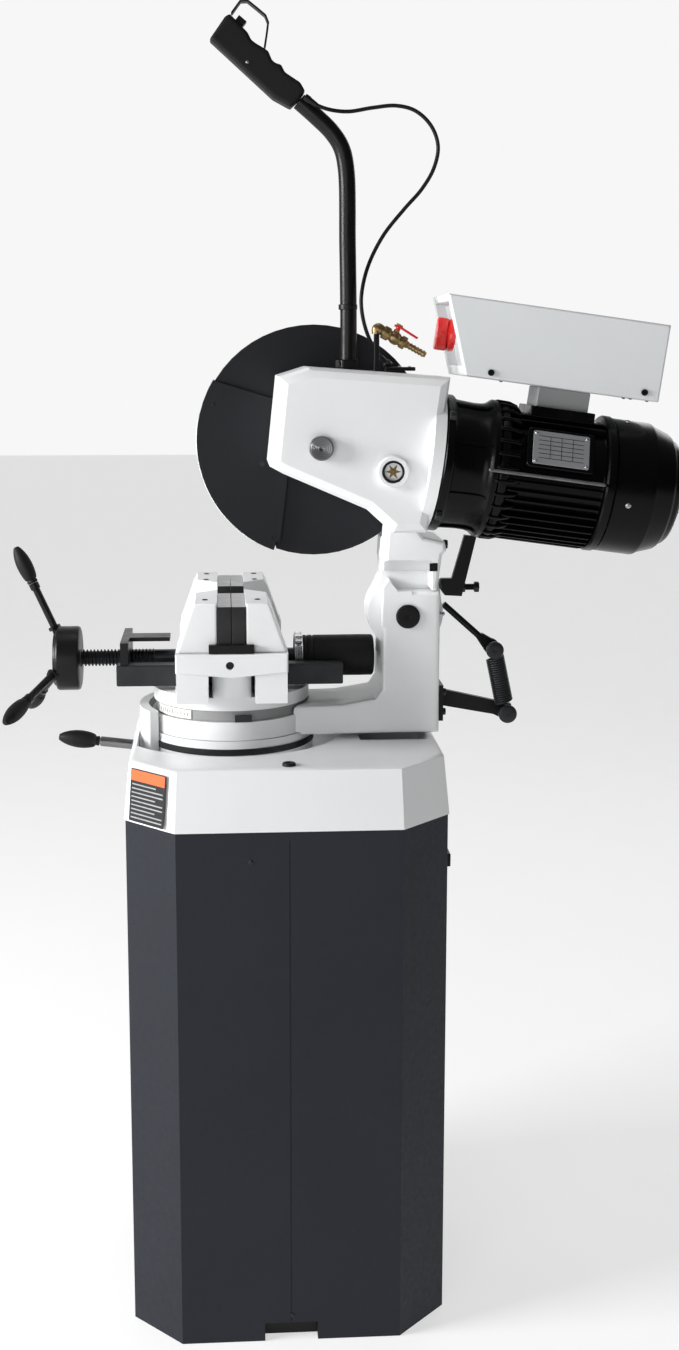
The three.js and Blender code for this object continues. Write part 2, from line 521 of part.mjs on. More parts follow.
// ---- motor and switch box, in a group tilted with the motor axis ----
function addMotor(parent) {
  const group = new THREE.Group();
  group.position.set(MOTOR.x, MOTOR.y, MOTOR.z);
  group.rotation.y = THREE.MathUtils.degToRad(MOTOR.tilt);
  parent.add(group);
  const along = [1, 0, 0];
  const { frameR, cowlR } = MOTOR;
  addMesh(group, 'motor_adapter', turned([[30, -77.6], [98, -77.6], [98, -62], [84, -52], [84, -16],
    [99, -10], [99, -GAP], [30, -GAP]], [0, 0, 0], along), black());
  addMesh(group, 'motor_frame', turned(tubeProfile(74, frameR, 0, 166), [0, 0, 0], along), black());
  addMesh(group, 'fan_cowl', turned([[74, 166.4], [cowlR, 166.4], [cowlR, 228], [86, 254], [58, 273], [0, 280],
    [0, 277], [56, 270], [83, 251], [92, 227], [92, 172], [74, 172]], [0, 0, 0], along), black());
  addMesh(group, 'motor_rotor', turned([[0, -150], [15, -150], [15, 14], [68, 14], [68, 146], [16, 146],
    [16, 196], [82, 196], [82, 222], [0, 222]], [0, 0, 0], along, 36), darkSteel());
  const saddle = rod([0, 0, 0], [170, 0, 0], frameR + 0.6, 48);
  addMesh(group, 'terminal_riser', cut(block(50, 125, -32, 40, 82, 126.4), saddle), greySheet());
  const box = [[-57, 127], [222, 127], [222, 236], [-98, 236]];
  const recess = sideSlab([[-75, 140], [-46, 140], [-78, 226], [-112, 226]], -26, 116);
    const inside = sideSlab([[-37, 130], [219, 130], [219, 233], [-71, 233]], -37, 127);
  const cableWay = block(65, 115, -15, 25, 120, 140);
  addMesh(group, 'switch_box', cut(sideSlab(box, -40, 130, 3), recess, inside, cableWay), greySheet());
  addMesh(group, 'switch_knob', turned([[0, 0], [20, 0], [20, 4], [14, 6], [14, 22], [0, 22]],
    [-69.5, 45, 182], [-1, 0, 0], 24), red());
  return group;
}

// ---- handle, grip, trigger, cable and coolant valve ----
function addHandle(group) {
  const y = -60;
  const path = [[103.8, 1800.6], [129, 1779], [150, 1759], [164, 1738], [171, 1709], [173.5, 1600],
    [175, 1500], [175, 1423.6]];
  addMesh(group, 'handle_tube', bentBar(path.map(([x, z]) => [x, y, z]), 12.2, 12, 26), black());
  const profile = [[-23, 1882], [66, 1803], [91, 1790], [103, 1801], [112, 1813], [105, 1825], [89, 1835], [83, 1839],
    [78, 1849], [70, 1851], [65, 1855], [60, 1867], [54, 1871], [43, 1877], [36, 1882], [31, 1892], [26, 1897],
    [6, 1917], [-1, 1913]];
  const grip = sideSlab(profile, y - 17, y + 17, 4);
  const angle = Math.atan2(-96, 117);
  const turn = (geometry, x, z) => {
    geometry.rotateY(-angle);
    geometry.translate(x, y, z);
    return solid(geometry);
  };
  const pocket = turn(new THREE.BoxGeometry(15, 17, 30), 16, 1902);
  addMesh(group, 'grip', cut(grip, pocket), rubber());
  addMesh(group, 'trigger', turn(new THREE.BoxGeometry(13.4, 15, 16), 19.2, 1905.8), black());
  const loop = [[8.4, 1918.6], [21, 1935.4], [31, 1936], [43.5, 1926.5], [56, 1916.5], [60, 1907],
    [58, 1892], [55, 1873.4]];
  addMesh(group, 'trigger_guard', strap(loop, 3, y - 8, y + 8), black());
  const cable = [[113.5, -76, 1803], [127, -76, 1794], [145, -74, 1788], [174, -62, 1787], [210, -60, 1793],
    [243, -60, 1796], [271, -60, 1789], [294, -60, 1768], [304, -60, 1740], [298, -60, 1709], [281, -60, 1680],
    [256, -60, 1652], [226, -60, 1615], [205, -62, 1575], [194, -76, 1539], [192, -80, 1514], [199, -76, 1480],
    [214, -70, 1449], [232, -66, 1429]];
  addMesh(group, 'control_cable', bentBar(cable, 2.8, 7, 54), black());
  addMesh(group, 'cable_gland', block(228, 272, -78, -54, 1420, 1425.6), black());
}

function addValve(group) {
  const y = -120;
  addMesh(group, 'valve_post', block(207, 214, y - 7, y + 7, 1422, 1473), black());
  const body = join(
    rod([211, y, 1481], [281, y, 1443], 5, 20),
    rod([219, y, 1476.6], [250, y, 1459.8], 9.5, 24),
    rod([210.5, y, 1473.6], [210.5, y, 1485], 6.5, 20));
  addMesh(group, 'valve_body', body, brass());
  const stem = rod([239.4, y, 1476.4], [242.4, y, 1481.8], 3.5, 16);
  const lever = strap([[236, 1485], [245, 1481.5], [269, 1466.5]], 3, y - 6, y + 6);
  addMesh(group, 'valve_lever', join(stem, lever), red());
}

// ---- scene graph ----
const saw = new THREE.Group();
addCabinet(saw);
addTray(saw);
addLockLever(saw);
addSwingArm(saw);
addVise(saw);
addJaw(saw, 'left', -1);
addJaw(saw, 'right', 1);
addHandwheel(saw);
const head = new THREE.Group();
saw.add(head);
addHead(head);
addSpring(head);
addMotor(head);
addHandle(head);
addValve(head);

export default saw;
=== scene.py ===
import json
import math

import bmesh
import bpy
from mathutils import Matrix, Vector


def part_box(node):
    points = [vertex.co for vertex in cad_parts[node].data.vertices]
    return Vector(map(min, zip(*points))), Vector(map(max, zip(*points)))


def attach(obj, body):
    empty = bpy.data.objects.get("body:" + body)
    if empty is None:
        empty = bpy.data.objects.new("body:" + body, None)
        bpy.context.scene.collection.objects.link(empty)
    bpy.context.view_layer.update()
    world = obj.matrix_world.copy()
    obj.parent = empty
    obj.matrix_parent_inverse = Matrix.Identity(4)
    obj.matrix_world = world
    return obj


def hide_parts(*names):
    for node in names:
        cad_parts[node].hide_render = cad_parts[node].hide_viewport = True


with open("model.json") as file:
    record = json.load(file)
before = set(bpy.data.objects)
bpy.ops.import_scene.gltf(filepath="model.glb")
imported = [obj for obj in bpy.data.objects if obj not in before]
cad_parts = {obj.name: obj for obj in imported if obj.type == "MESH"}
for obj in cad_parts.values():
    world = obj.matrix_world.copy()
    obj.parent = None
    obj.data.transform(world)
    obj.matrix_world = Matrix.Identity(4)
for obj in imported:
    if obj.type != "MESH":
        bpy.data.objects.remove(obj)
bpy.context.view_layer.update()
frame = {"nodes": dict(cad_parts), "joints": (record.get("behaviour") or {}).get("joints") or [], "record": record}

RECORD = frame["record"]
JOINTS = {j["name"]: j for j in frame["joints"]}
BODY_OF = {n: b for b, members in RECORD["behaviour"]["bodies"].items() for n in members}
X, Y, Z = Vector((1, 0, 0)), Vector((0, 1, 0)), Vector((0, 0, 1))
MM = 0.001
MERGE_ANGLE = math.radians(0.6)


# ---------------------------------------------------------------- camera
EYE = (-0.012, -2.423, 1.451)
PAN, TILT = math.radians(3.70), math.radians(8.90)
FOCAL_MM, SHIFT = 42.667, (0.0107, -0.0556)


def add_camera():
    """The photo's camera, as fitted to the object's corners."""
    data = bpy.data.cameras.new("camera")
    camera = bpy.data.objects.new("camera", data)
    bpy.context.scene.collection.objects.link(camera)
    look = Vector((math.sin(PAN) * math.cos(TILT), math.cos(PAN) * math.cos(TILT), -math.sin(TILT)))
    camera.location = EYE
    camera.rotation_mode = "QUATERNION"
    camera.rotation_quaternion = look.to_track_quat("-Z", "Y")
    data.sensor_width = 36
    data.lens = FOCAL_MM
    data.shift_x, data.shift_y = SHIFT
    data.clip_start = 0.05
    data.clip_end = 60
    bpy.context.scene.camera = camera


add_camera()


# ---------------------------------------------------------------- mesh helpers
def new_object(name, mesh):
    obj = bpy.data.objects.new(name, mesh)
    bpy.context.scene.collection.objects.link(obj)
    return obj


def from_faces(name, verts, faces):
    mesh = bpy.data.meshes.new(name)
    mesh.from_pydata([tuple(v) for v in verts], [], faces)
    mesh.validate()
    bm = bmesh.new()
    bm.from_mesh(mesh)
    bmesh.ops.recalc_face_normals(bm, faces=bm.faces)
    bm.to_mesh(mesh)
    bm.free()
    return new_object(name, mesh)


def bake(obj):
    """Applies the object's modifiers to its mesh."""
    graph = bpy.context.evaluated_depsgraph_get()
    made = bpy.data.meshes.new_from_object(obj.evaluated_get(graph))
    obj.modifiers.clear()
    obj.data = made
    return obj


def shade(obj, angle=32):
    mesh = obj.data
    mesh.polygons.foreach_set("use_smooth", [True] * len(mesh.polygons))
    mesh.set_sharp_from_angle(angle=math.radians(angle))
    return obj


def even_normals(obj):
    """Leans the normals of rounded edges towards the large faces beside them, so flat faces stay flat."""
    modifier = obj.modifiers.new("even", "WEIGHTED_NORMAL")
    modifier.mode = "FACE_AREA"
    modifier.weight = 50
    modifier.keep_sharp = True
    return bake(obj)


def bevel(obj, width, segments=2, angle=30):
    modifier = obj.modifiers.new("bevel", "BEVEL")
    modifier.width = width * MM
    modifier.segments = segments
    modifier.limit_method = "ANGLE"
    modifier.angle_limit = math.radians(angle)
    modifier.use_clamp_overlap = True
    modifier.harden_normals = False
    return bake(obj)


def cut_away(obj, tool):
    modifier = obj.modifiers.new("boolean", "BOOLEAN")
    modifier.operation = "DIFFERENCE"
    modifier.solver = "EXACT"
    modifier.object = tool
    bpy.context.view_layer.update()
    bake(obj)
    bpy.data.objects.remove(tool)
    return obj


def basis(axis):
    """Rotation that takes local Z to an axis."""
    return Vector(axis).normalized().to_track_quat("Z", "Y").to_matrix().to_4x4()


def placed(obj, origin, axis=Z):
    obj.data.transform(Matrix.Translation(Vector(origin)) @ basis(axis))
    return obj


def lathe(name, profile, origin, axis=Z, segments=64):
    """Closed solid of (radius, distance) pairs in millimetres, turned round an axis."""
    verts, faces, rings = [], [], []
    for r, d in profile:
        if r * MM < 1e-7:
            rings.append([len(verts)])
            verts.append((0, 0, d * MM))
        else:
            rings.append(list(range(len(verts), len(verts) + segments)))
            for i in range(segments):
                a = 2 * math.pi * i / segments
                verts.append((r * MM * math.cos(a), r * MM * math.sin(a), d * MM))
    closed = profile[0][0] * MM > 1e-7
    pairs = list(zip(rings, rings[1:] + ([rings[0]] if closed else [])))
    for a, b in pairs:
        if len(a) == 1 and len(b) == 1:
            continue
        for i in range(segments):
            j = (i + 1) % segments
            if len(a) == 1:
                faces.append((a[0], b[j], b[i]))
            elif len(b) == 1:
                faces.append((a[i], a[j], b[0]))
            else:
                faces.append((a[i], a[j], b[j], b[i]))
    return placed(from_faces(name, verts, faces), origin, axis)


def ring_faces(rings, sides):
    """Faces of a tube of rings, with a flat cap at each end."""
    faces = []
    for k in range(rings - 1):
        for i in range(sides):
            j = (i + 1) % sides
            faces.append((k * sides + i, k * sides + j, (k + 1) * sides + j, (k + 1) * sides + i))
    faces.append(tuple(range(sides)))
    faces.append(tuple((rings - 1) * sides + i for i in range(sides)))
    return faces


def tube(name, points, radius, sides=24, steps=0):
    """Round bar along points, or along a smooth line of so many steps through them."""
    dense = smooth_line(points, steps) if steps else [Vector(p) for p in points]
    verts = []
    normal = None
    total = len(dense)
    for k, p in enumerate(dense):
        t = (dense[min(k + 1, total - 1)] - dense[max(k - 1, 0)]).normalized()
        if normal is None:
            normal = t.orthogonal().normalized()
        normal = (normal - t * normal.dot(t)).normalized()
        side = t.cross(normal)
        for i in range(sides):
            a = 2 * math.pi * i / sides
            verts.append(p + (normal * math.cos(a) + side * math.sin(a)) * radius)
    return from_faces(name, verts, ring_faces(total, sides))


def smooth_line(points, steps):
    """Centripetal Catmull-Rom through points, as evenly spread vectors."""
    p = [Vector(q) for q in points]
    p = [p[0] * 2 - p[1]] + p + [p[-1] * 2 - p[-2]]
    dense = []
    per = max(2, steps // (len(points) - 1))
    for i in range(1, len(p) - 2):
        t = [0.0]
        for a, b in ((p[i - 1], p[i]), (p[i], p[i + 1]), (p[i + 1], p[i + 2])):
            t.append(t[-1] + max((b - a).length, 1e-6) ** 0.5)
        for k in range(per):
            u = t[1] + (t[2] - t[1]) * k / per
            a1 = p[i - 1].lerp(p[i], (u - t[0]) / (t[1] - t[0]))
            a2 = p[i].lerp(p[i + 1], (u - t[1]) / (t[2] - t[1]))
            a3 = p[i + 1].lerp(p[i + 2], (u - t[2]) / (t[3] - t[2]))
            b1 = a1.lerp(a2, (u - t[0]) / (t[2] - t[0]))
            b2 = a2.lerp(a3, (u - t[1]) / (t[3] - t[1]))
            dense.append(b1.lerp(b2, (u - t[1]) / (t[2] - t[1])))
    dense.append(p[-2].copy())
    return dense


def prism(name, outline, depth, origin, u, v, edge=0, segments=2):
    """Outline of (u, v) millimetres, pushed along u x v by a depth, with rounded edges."""
    u, v = Vector(u).normalized(), Vector(v).normalized()
    w = u.cross(v)
    origin = Vector(origin)
    low = [origin + (u * a + v * b) * MM for a, b in outline]
    high = [p + w * depth * MM for p in low]
    n = len(outline)
    faces = [tuple(range(n)), tuple(range(n, 2 * n))]
    faces += [(i, (i + 1) % n, n + (i + 1) % n, n + i) for i in range(n)]
    obj = from_faces(name, low + high, faces)
    return bevel(obj, edge, segments) if edge else obj


def cuboid(name, low, high, edge=1.0, segments=2):
    (x0, y0, z0), (x1, y1, z1) = low, high
    outline = [(0, 0), ((x1 - x0) / MM, 0), ((x1 - x0) / MM, (y1 - y0) / MM), (0, (y1 - y0) / MM)]
    return prism(name, outline, (z1 - z0) / MM, (x0, y0, z0), X, Y, edge, segments)


def round_outline(width, height, radius, steps=6):
    """Rounded rectangle centred on the origin, in millimetres."""
    points = []
    for cx, cy, start in ((1, 1, 0), (-1, 1, 90), (-1, -1, 180), (1, -1, 270)):
        for k in range(steps + 1):
            a = math.radians(start + 90 * k / steps)
            points.append((cx * (width / 2 - radius) + radius * math.cos(a),
                           cy * (height / 2 - radius) + radius * math.sin(a)))
    return points


def joined(name, objects):
    """One object from several, kept in the first one's place."""
    bm = bmesh.new()
    for obj in objects:
        bm.from_mesh(obj.data)
    mesh = bpy.data.meshes.new(name)
    bm.to_mesh(mesh)
    bm.free()
    for obj in objects:
        bpy.data.objects.remove(obj)
    return new_object(name, mesh)


# ---------------------------------------------------------------- placing pieces
def piece(obj, body, material, node=None, angle=32):
    """Shades a piece, gives it a material and rides it on a body, in place of a CAD node."""
    shade(obj, angle)
    if angle < 180:
        even_normals(obj)
    obj.data.materials.clear()
    obj.data.materials.append(material)
    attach(obj, body)
    if node:
        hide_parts(node)
    return obj


def cad_copy(node, material, width=1.0, segments=2, angle=30):
    """The node's own solid with flat faces merged and its edges rounded."""
    mesh = frame["nodes"][node].data.copy()
    bm = bmesh.new()
    bm.from_mesh(mesh)
    bmesh.ops.remove_doubles(bm, verts=bm.verts, dist=1e-6)
    bmesh.ops.dissolve_limit(bm, angle_limit=MERGE_ANGLE, verts=bm.verts, edges=bm.edges)
    bm.to_mesh(mesh)
    bm.free()
    obj = new_object(node + "_skin", mesh)
    if width:
        bevel(obj, width, segments, angle)
    return piece(obj, BODY_OF[node], material, node)


def two_tone(obj, material, limit=0.9):
    """A second material on the faces that look up, whose normals rise above the limit."""
    obj.data.materials.append(material)
    for polygon in obj.data.polygons:
        if polygon.normal.z > limit:
            polygon.material_index = len(obj.data.materials) - 1


def mid(node):
    low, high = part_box(node)
    return (low + high) / 2


# ---------------------------------------------------------------- materials
def shader(name):
    material = bpy.data.materials.new(name)
    material.use_nodes = True
    tree = material.node_tree
    return material, tree, tree.nodes["Principled BSDF"]


def noise(tree, scale, detail=3, stretch=(1, 1, 1), rough=0.5):
    coords = tree.nodes.new("ShaderNodeTexCoord")
    mapping = tree.nodes.new("ShaderNodeMapping")
    mapping.inputs["Scale"].default_value = stretch
    texture = tree.nodes.new("ShaderNodeTexNoise")
    texture.inputs["Scale"].default_value = scale
    texture.inputs["Detail"].default_value = detail
    texture.inputs["Roughness"].default_value = rough
    tree.links.new(coords.outputs["Object"], mapping.inputs["Vector"])
    tree.links.new(mapping.outputs["Vector"], texture.inputs["Vector"])
    return texture.outputs["Fac"]


def ranged(tree, value, low, high, start=0.3, end=0.7):
    node = tree.nodes.new("ShaderNodeMapRange")
    node.inputs["From Min"].default_value = start
    node.inputs["From Max"].default_value = end
    node.inputs["To Min"].default_value = low
    node.inputs["To Max"].default_value = high
    tree.links.new(value, node.inputs["Value"])
    return node.outputs["Result"]


def blended(tree, value, a, b, start=0.35, end=0.65):
    ramp = tree.nodes.new("ShaderNodeValToRGB")
    ramp.color_ramp.elements[0].position = start
    ramp.color_ramp.elements[1].position = end
    ramp.color_ramp.elements[0].color = (*a, 1)
    ramp.color_ramp.elements[1].color = (*b, 1)
    tree.links.new(value, ramp.inputs["Fac"])
    return ramp.outputs["Color"]


def bumped(tree, shader_node, layers):
    """Bumps laid over each other; layers are (height output, strength, distance in metres)."""
    normal = None
    for height, strength, distance in layers:
        bump = tree.nodes.new("ShaderNodeBump")
        bump.inputs["Strength"].default_value = strength
        bump.inputs["Distance"].default_value = distance
        tree.links.new(height, bump.inputs["Height"])
        if normal is not None:
            tree.links.new(normal, bump.inputs["Normal"])
        normal = bump.outputs["Normal"]
    tree.links.new(normal, shader_node.inputs["Normal"])


def surface(name, colour, rough, metallic=0.0, vary=0.06, grain=600, relief=0.08, wave=40, wave_relief=0.0,
            stretch=(1, 1, 1), coat=0.0, spread=0.06, depth=0.0004, patch=7, gloss=0.5):
    """A surface with broad tone changes, a fine grain and an optional slow waviness."""
    material, tree, node = shader(name)
    light = tuple(min(1.0, c * (1 + vary)) for c in colour)
    dark = tuple(c * (1 - vary) for c in colour)
    broad = noise(tree, patch, 4)
    fine = noise(tree, grain, 3, stretch, 0.6)
    tree.links.new(blended(tree, broad, dark, light), node.inputs["Base Color"])
    tree.links.new(ranged(tree, noise(tree, grain / 9, 4, stretch), rough - spread, rough + spread),
                   node.inputs["Roughness"])
    layers = [(fine, relief, depth)]
    if wave_relief:
        layers.insert(0, (noise(tree, wave, 2), wave_relief, 0.002))
    bumped(tree, node, layers)
    node.inputs["Metallic"].default_value = metallic
    node.inputs["Specular IOR Level"].default_value = gloss
    node.inputs["Coat Weight"].default_value = coat
    node.inputs["Coat Roughness"].default_value = 0.12
    return material


WHITE = surface("white_enamel", (0.80, 0.81, 0.815), 0.34, vary=0.012, grain=420, relief=0.10, wave=60,
                wave_relief=0.05, coat=0.15)
CAST = surface("white_casting", (0.79, 0.80, 0.805), 0.42, vary=0.02, grain=260, relief=0.22, wave=45,
               wave_relief=0.10, coat=0.10)
BLUE = surface("cabinet_coat", (0.0135, 0.0155, 0.0225), 0.50, vary=0.06, grain=1100, relief=0.35, gloss=0.22)
GUARD = surface("guard_coat", (0.0095, 0.0100, 0.0125), 0.44, vary=0.05, grain=1000, relief=0.22, gloss=0.20)
BLACK = surface("black_paint", (0.0045, 0.0045, 0.0048), 0.36, vary=0.10, grain=500, relief=0.15, gloss=0.22)
MOTOR = surface("motor_paint", (0.0012, 0.0012, 0.0014), 0.24, vary=0.12, grain=320, relief=0.22, gloss=0.14)
RUBBER = surface("moulded_rubber", (0.0075, 0.0075, 0.008), 0.55, vary=0.10, grain=900, relief=0.30,
                 gloss=0.20)
PLASTIC = surface("black_plastic", (0.006, 0.006, 0.006), 0.45, vary=0.08, grain=700, relief=0.18, gloss=0.22)
STEEL = surface("ground_steel", (0.40, 0.41, 0.42), 0.34, 1.0, vary=0.06, grain=700, relief=0.14,
                stretch=(0.08, 1, 1))
TURNED = surface("turned_steel", (0.42, 0.42, 0.43), 0.30, 1.0, vary=0.08, grain=500, relief=0.12)
CAP_STEEL = surface("spindle_steel", (0.20, 0.20, 0.205), 0.34, 1.0, vary=0.10, grain=500, relief=0.12)
DARK_STEEL = surface("dark_steel", (0.030, 0.031, 0.034), 0.38, 0.6, vary=0.18, grain=500, relief=0.20,
                     stretch=(0.1, 1, 1), patch=25, gloss=0.4)
PLATE_TOP = surface("jaw_steel", (0.022, 0.022, 0.023), 0.42, 0.5, vary=0.20, grain=900, relief=0.30,
                    stretch=(1, 0.06, 1), patch=30, gloss=0.4)
GROUND = surface("ground_top", (0.40, 0.40, 0.405), 0.42, 0.7, vary=0.12, grain=900, relief=0.30,
                 stretch=(0.06, 1, 1), patch=40)
BRASS = surface("turned_brass", (0.27, 0.19, 0.085), 0.36, 0.9, vary=0.20, grain=500, relief=0.12, patch=70)
RED = surface("red_plastic", (0.62, 0.018, 0.016), 0.26, vary=0.05, grain=600, relief=0.06, coat=0.3)
GREY = surface("grey_sheet", (0.74, 0.76, 0.77), 0.42, vary=0.015, grain=900, relief=0.12, gloss=0.4)
RISER = surface("grey_riser", (0.24, 0.25, 0.25), 0.42, 0.1, vary=0.04, grain=900, relief=0.12)
CHROME = surface("chrome_band", (0.66, 0.66, 0.67), 0.16, 1.0, vary=0.05, grain=300, relief=0.06)
SILVER = surface("plate_silver", (0.40, 0.405, 0.42), 0.34, 0.6, vary=0.06, grain=900, relief=0.10,
                 stretch=(0.05, 1, 1))
PALE = surface("scale_face", (0.70, 0.70, 0.67), 0.45, vary=0.03, grain=800, relief=0.05)
POST = surface("post_steel", (0.26, 0.26, 0.26), 0.45, 0.3, vary=0.10, grain=500, relief=0.12)
ORANGE = surface("orange_print", (0.72, 0.13, 0.035), 0.5, vary=0.04, grain=800, relief=0.05, gloss=0.3)
INK = surface("ink", (0.012, 0.012, 0.013), 0.5, vary=0.05, grain=800, relief=0.05, gloss=0.3)
# Lighter steel grey for the motor's frame rib: a painted highlight along the rib.
RIB_HIGHLIGHT = surface("rib_highlight", (0.16, 0.16, 0.165), 0.30, 0.6, vary=0.25, grain=300, relief=0.10, patch=60)


# ---------------------------------------------------------------- small fittings
def hex_head(name, centre, axis, across, height, body, material):
    r = across / math.sqrt(3)
    outline = [(r * math.cos(math.pi * i / 3), r * math.sin(math.pi * i / 3)) for i in range(6)]
    frame_axis = basis(axis)
    u, v = frame_axis.col[0].to_3d(), frame_axis.col[1].to_3d()
    obj = prism(name, outline, height, centre, u, v, min(1.2, height * 0.2), 2)
    return piece(obj, body, material)


def socket_head(name, centre, axis, radius, height, body, material):
    """Cap screw with a recess in its top."""
    r, h = radius, height
    profile = [(0, h * 0.45), (r * 0.5, h * 0.45), (r * 0.55, h), (r * 0.86, h), (r, h * 0.86), (r, 0),
               (0, 0)]
    return piece(lathe(name, profile, centre, axis, 28), body, material, angle=25)


def pan_head(name, centre, axis, radius, height, body, material):
    """Domed screw with a slot cut across it."""
    profile = [(0, height)]
    for k in range(1, 6):
        a = math.radians(18 * k)
        profile.append((radius * math.sin(a), height * math.cos(a) ** 0.7 if k < 5 else 0))
    profile.append((0, 0))
    obj = lathe(name, profile, centre, axis, 24)
    turn = basis(axis)
    u, v, w = (turn.col[i].to_3d() for i in range(3))
    groove = prism(name + "_tool", [(-radius * 1.2, -radius * 0.13), (radius * 1.2, -radius * 0.13),
                                    (radius * 1.2, radius * 0.13), (-radius * 1.2, radius * 0.13)],
                   height, Vector(centre) + w * height * 0.55 * MM, u, v)
    return piece(cut_away(obj, groove), body, material, angle=25)


# ---------------------------------------------------------------- cabinet
def build_cabinet():
    cad_copy("cabinet_shell", BLUE, 2.2, 3)
    cad_copy("cabinet_door", BLUE, 1.4, 2)
    cad_copy("door_latch", BLACK, 1.6, 2)
    low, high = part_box("cabinet_shell")
    seam = mid("cabinet_shell").x
    for i, (x, z) in enumerate(((seam - 0.055, high.z - 0.043), (seam + 0.002, 0.040))):
        pan_head(f"front_screw_{i}", (x, low.y, z), -Y, 3.2, 1.6, "base", DARK_STEEL)
    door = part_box("cabinet_door")[1]
    knuckles = [(0, 0), (6, 0), (6.4, 1), (6.4, 24), (5.6, 24.5), (5.6, 25.5), (6.4, 26), (6.4, 49),
                (6, 50), (0, 50)]
    for i, z in enumerate((0.16, 0.66)):
        hinge = lathe(f"door_hinge_{i}", knuckles, (door.x - 0.001, door.y + 0.0025, z), Z, 24)
        piece(hinge, "base", BLACK)
    for i, z in enumerate((0.20, 0.26, 0.32, 0.38, 0.44, 0.50)):
        louvre = prism(f"door_louvre_{i}", [(0, 0), (140, 0), (140, 3), (136, 9), (4, 9), (0, 3)], 4,
                       (door.x - 0.0005, mid("cabinet_door").y - 0.07, z), Y, Z, 1.2)
        piece(louvre, "door", BLUE)


# ---------------------------------------------------------------- tray
def build_tray():
    cad_copy("top_tray", WHITE, 4.0, 3, 28)
    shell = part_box("cabinet_shell")[0]
    toe = cuboid("toe_plate", (0.040, shell.y + 0.016, 0.001), (0.124, shell.y + 0.018, 0.034), 0.5)
    piece(toe, "base", BLACK)
    cad_copy("swing_post", POST, 0.8)
    # Painted shade: a thin black ring on the inner wall of the channel stands in for the shadow inside the
    # channel.
    channel_shade = [(125.2, -11), (126.6, -11), (126.6, -1.4), (125.2, -1.4)]
    low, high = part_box("top_tray")
    piece(lathe("channel_shade_ring", channel_shade, (0, 0, high.z - 0.045), Z, 128), "base", INK)
    cad_copy("swing_scale", PALE, 0.0)
    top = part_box("swing_arm")[0].z - 0.0055
    plug = lathe("tray_plug", [(0, 4), (4, 4), (4.4, 5.6), (8.6, 5.2), (9.6, 3.6), (9.8, 0), (0, 0)],
                 (mid("cabinet_shell").x, low.y + 0.026, top - 0.0015), Z, 32)
    piece(plug, "base", RUBBER)
    ticks = []
    radius = 0.1179
    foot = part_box("swing_scale")[0].z + 0.004
    for k in range(12):
        a = math.radians(203 + 3 * k)
        out = Vector((math.cos(a), math.sin(a), 0))
        side = Vector((-math.sin(a), math.cos(a), 0))
        tall = 7.5 if k % 3 == 0 else 4.5
        ticks.append(prism(f"tick_{k}", [(-0.35, 0), (0.35, 0), (0.35, tall), (-0.35, tall)], 0.35,
                           out * (radius - 0.0001) + Z * foot, side, Z))
    piece(joined("scale_ticks", ticks), "base", INK)
    build_data_plate()


def build_data_plate():
    """A plain plate with ruled lines on the front left corner of the tray."""
    shell_low, shell_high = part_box("cabinet_shell")
    chamfer = 0.0735
    a = Vector((shell_low.x - 0.0012, shell_low.y + chamfer, 0))
    b = Vector((shell_low.x + chamfer - 0.0012, shell_low.y, 0))
    along = (b - a).normalized()
    out = Vector((along.y, -along.x, 0))
    lean = (Z * 0.996 - out * 0.088).normalized()
    origin = (a + b) / 2 + out * 0.0008 + Z * (shell_high.z + 0.042) - along * 0.0015
    plate = prism("data_plate", round_outline(72, 76, 2), 0.8, origin, along, lean, 0.2, 1)
    piece(plate, "base", INK)
    normal = along.cross(lean)
    band = prism("data_plate_band", [(-35, 21), (35, 21), (35, 36.5), (-35, 36.5)], 0.3,
                 origin + normal * 0.0008, along, lean)
    piece(band, "base", ORANGE)
    lines = []
    for k in range(9):
        v = 15 - 6 * k
        right = 32 if k % 3 else 17
        lines.append(prism(f"rule_{k}", [(-32, v), (right, v), (right, v + 1.8), (-32, v + 1.8)], 0.3,
                           origin + normal * 0.0008, along, lean))
    piece(joined("data_plate_lines", lines), "base", SILVER)


def build_lock_lever():
    cad_copy("lock_lever", CAP_STEEL, 0.8, 2)
    y = JOINTS["lock_turn"]["pos_m"][1]
    axis = Vector((-0.9925, 0, 0.122)).normalized()
    sleeve = lathe("lever_sleeve", [(5.7, 0), (7.2, 0), (7.6, 0.6), (7.6, 51), (7.2, 52), (5.7, 52)],
                   (-0.1505, y, 0.8475), axis, 32)
    piece(sleeve, "lock", CAP_STEEL)
    handle_knob(Vector((-0.2036, y, 0.8541)), axis, 63, 13.6, 7.5, "lock", "lock_knob")


def handle_knob(start, axis, length, radius, neck, body, node):
    """Tapered machine handle with a collar and a rounded end."""
    collar, waist = 5, neck * 0.88
    profile = [(0, 0), (neck * 0.86, 0), (neck, 1), (neck, 3.5), (waist, collar)]
    steps = 22
    for k in range(steps + 1):
        t = k / steps
        swell = math.sin(math.pi * min(1.0, t * 0.93) ** 0.75) ** 0.62 if 0 < t else 0
        core = waist * (1 - t)
        profile.append((core + (radius - core) * swell, collar + (length - collar) * t * 0.985))
    profile.append((0, length))
    piece(lathe(node + "_skin", profile, start, axis, 40), body, RUBBER, node, angle=40)


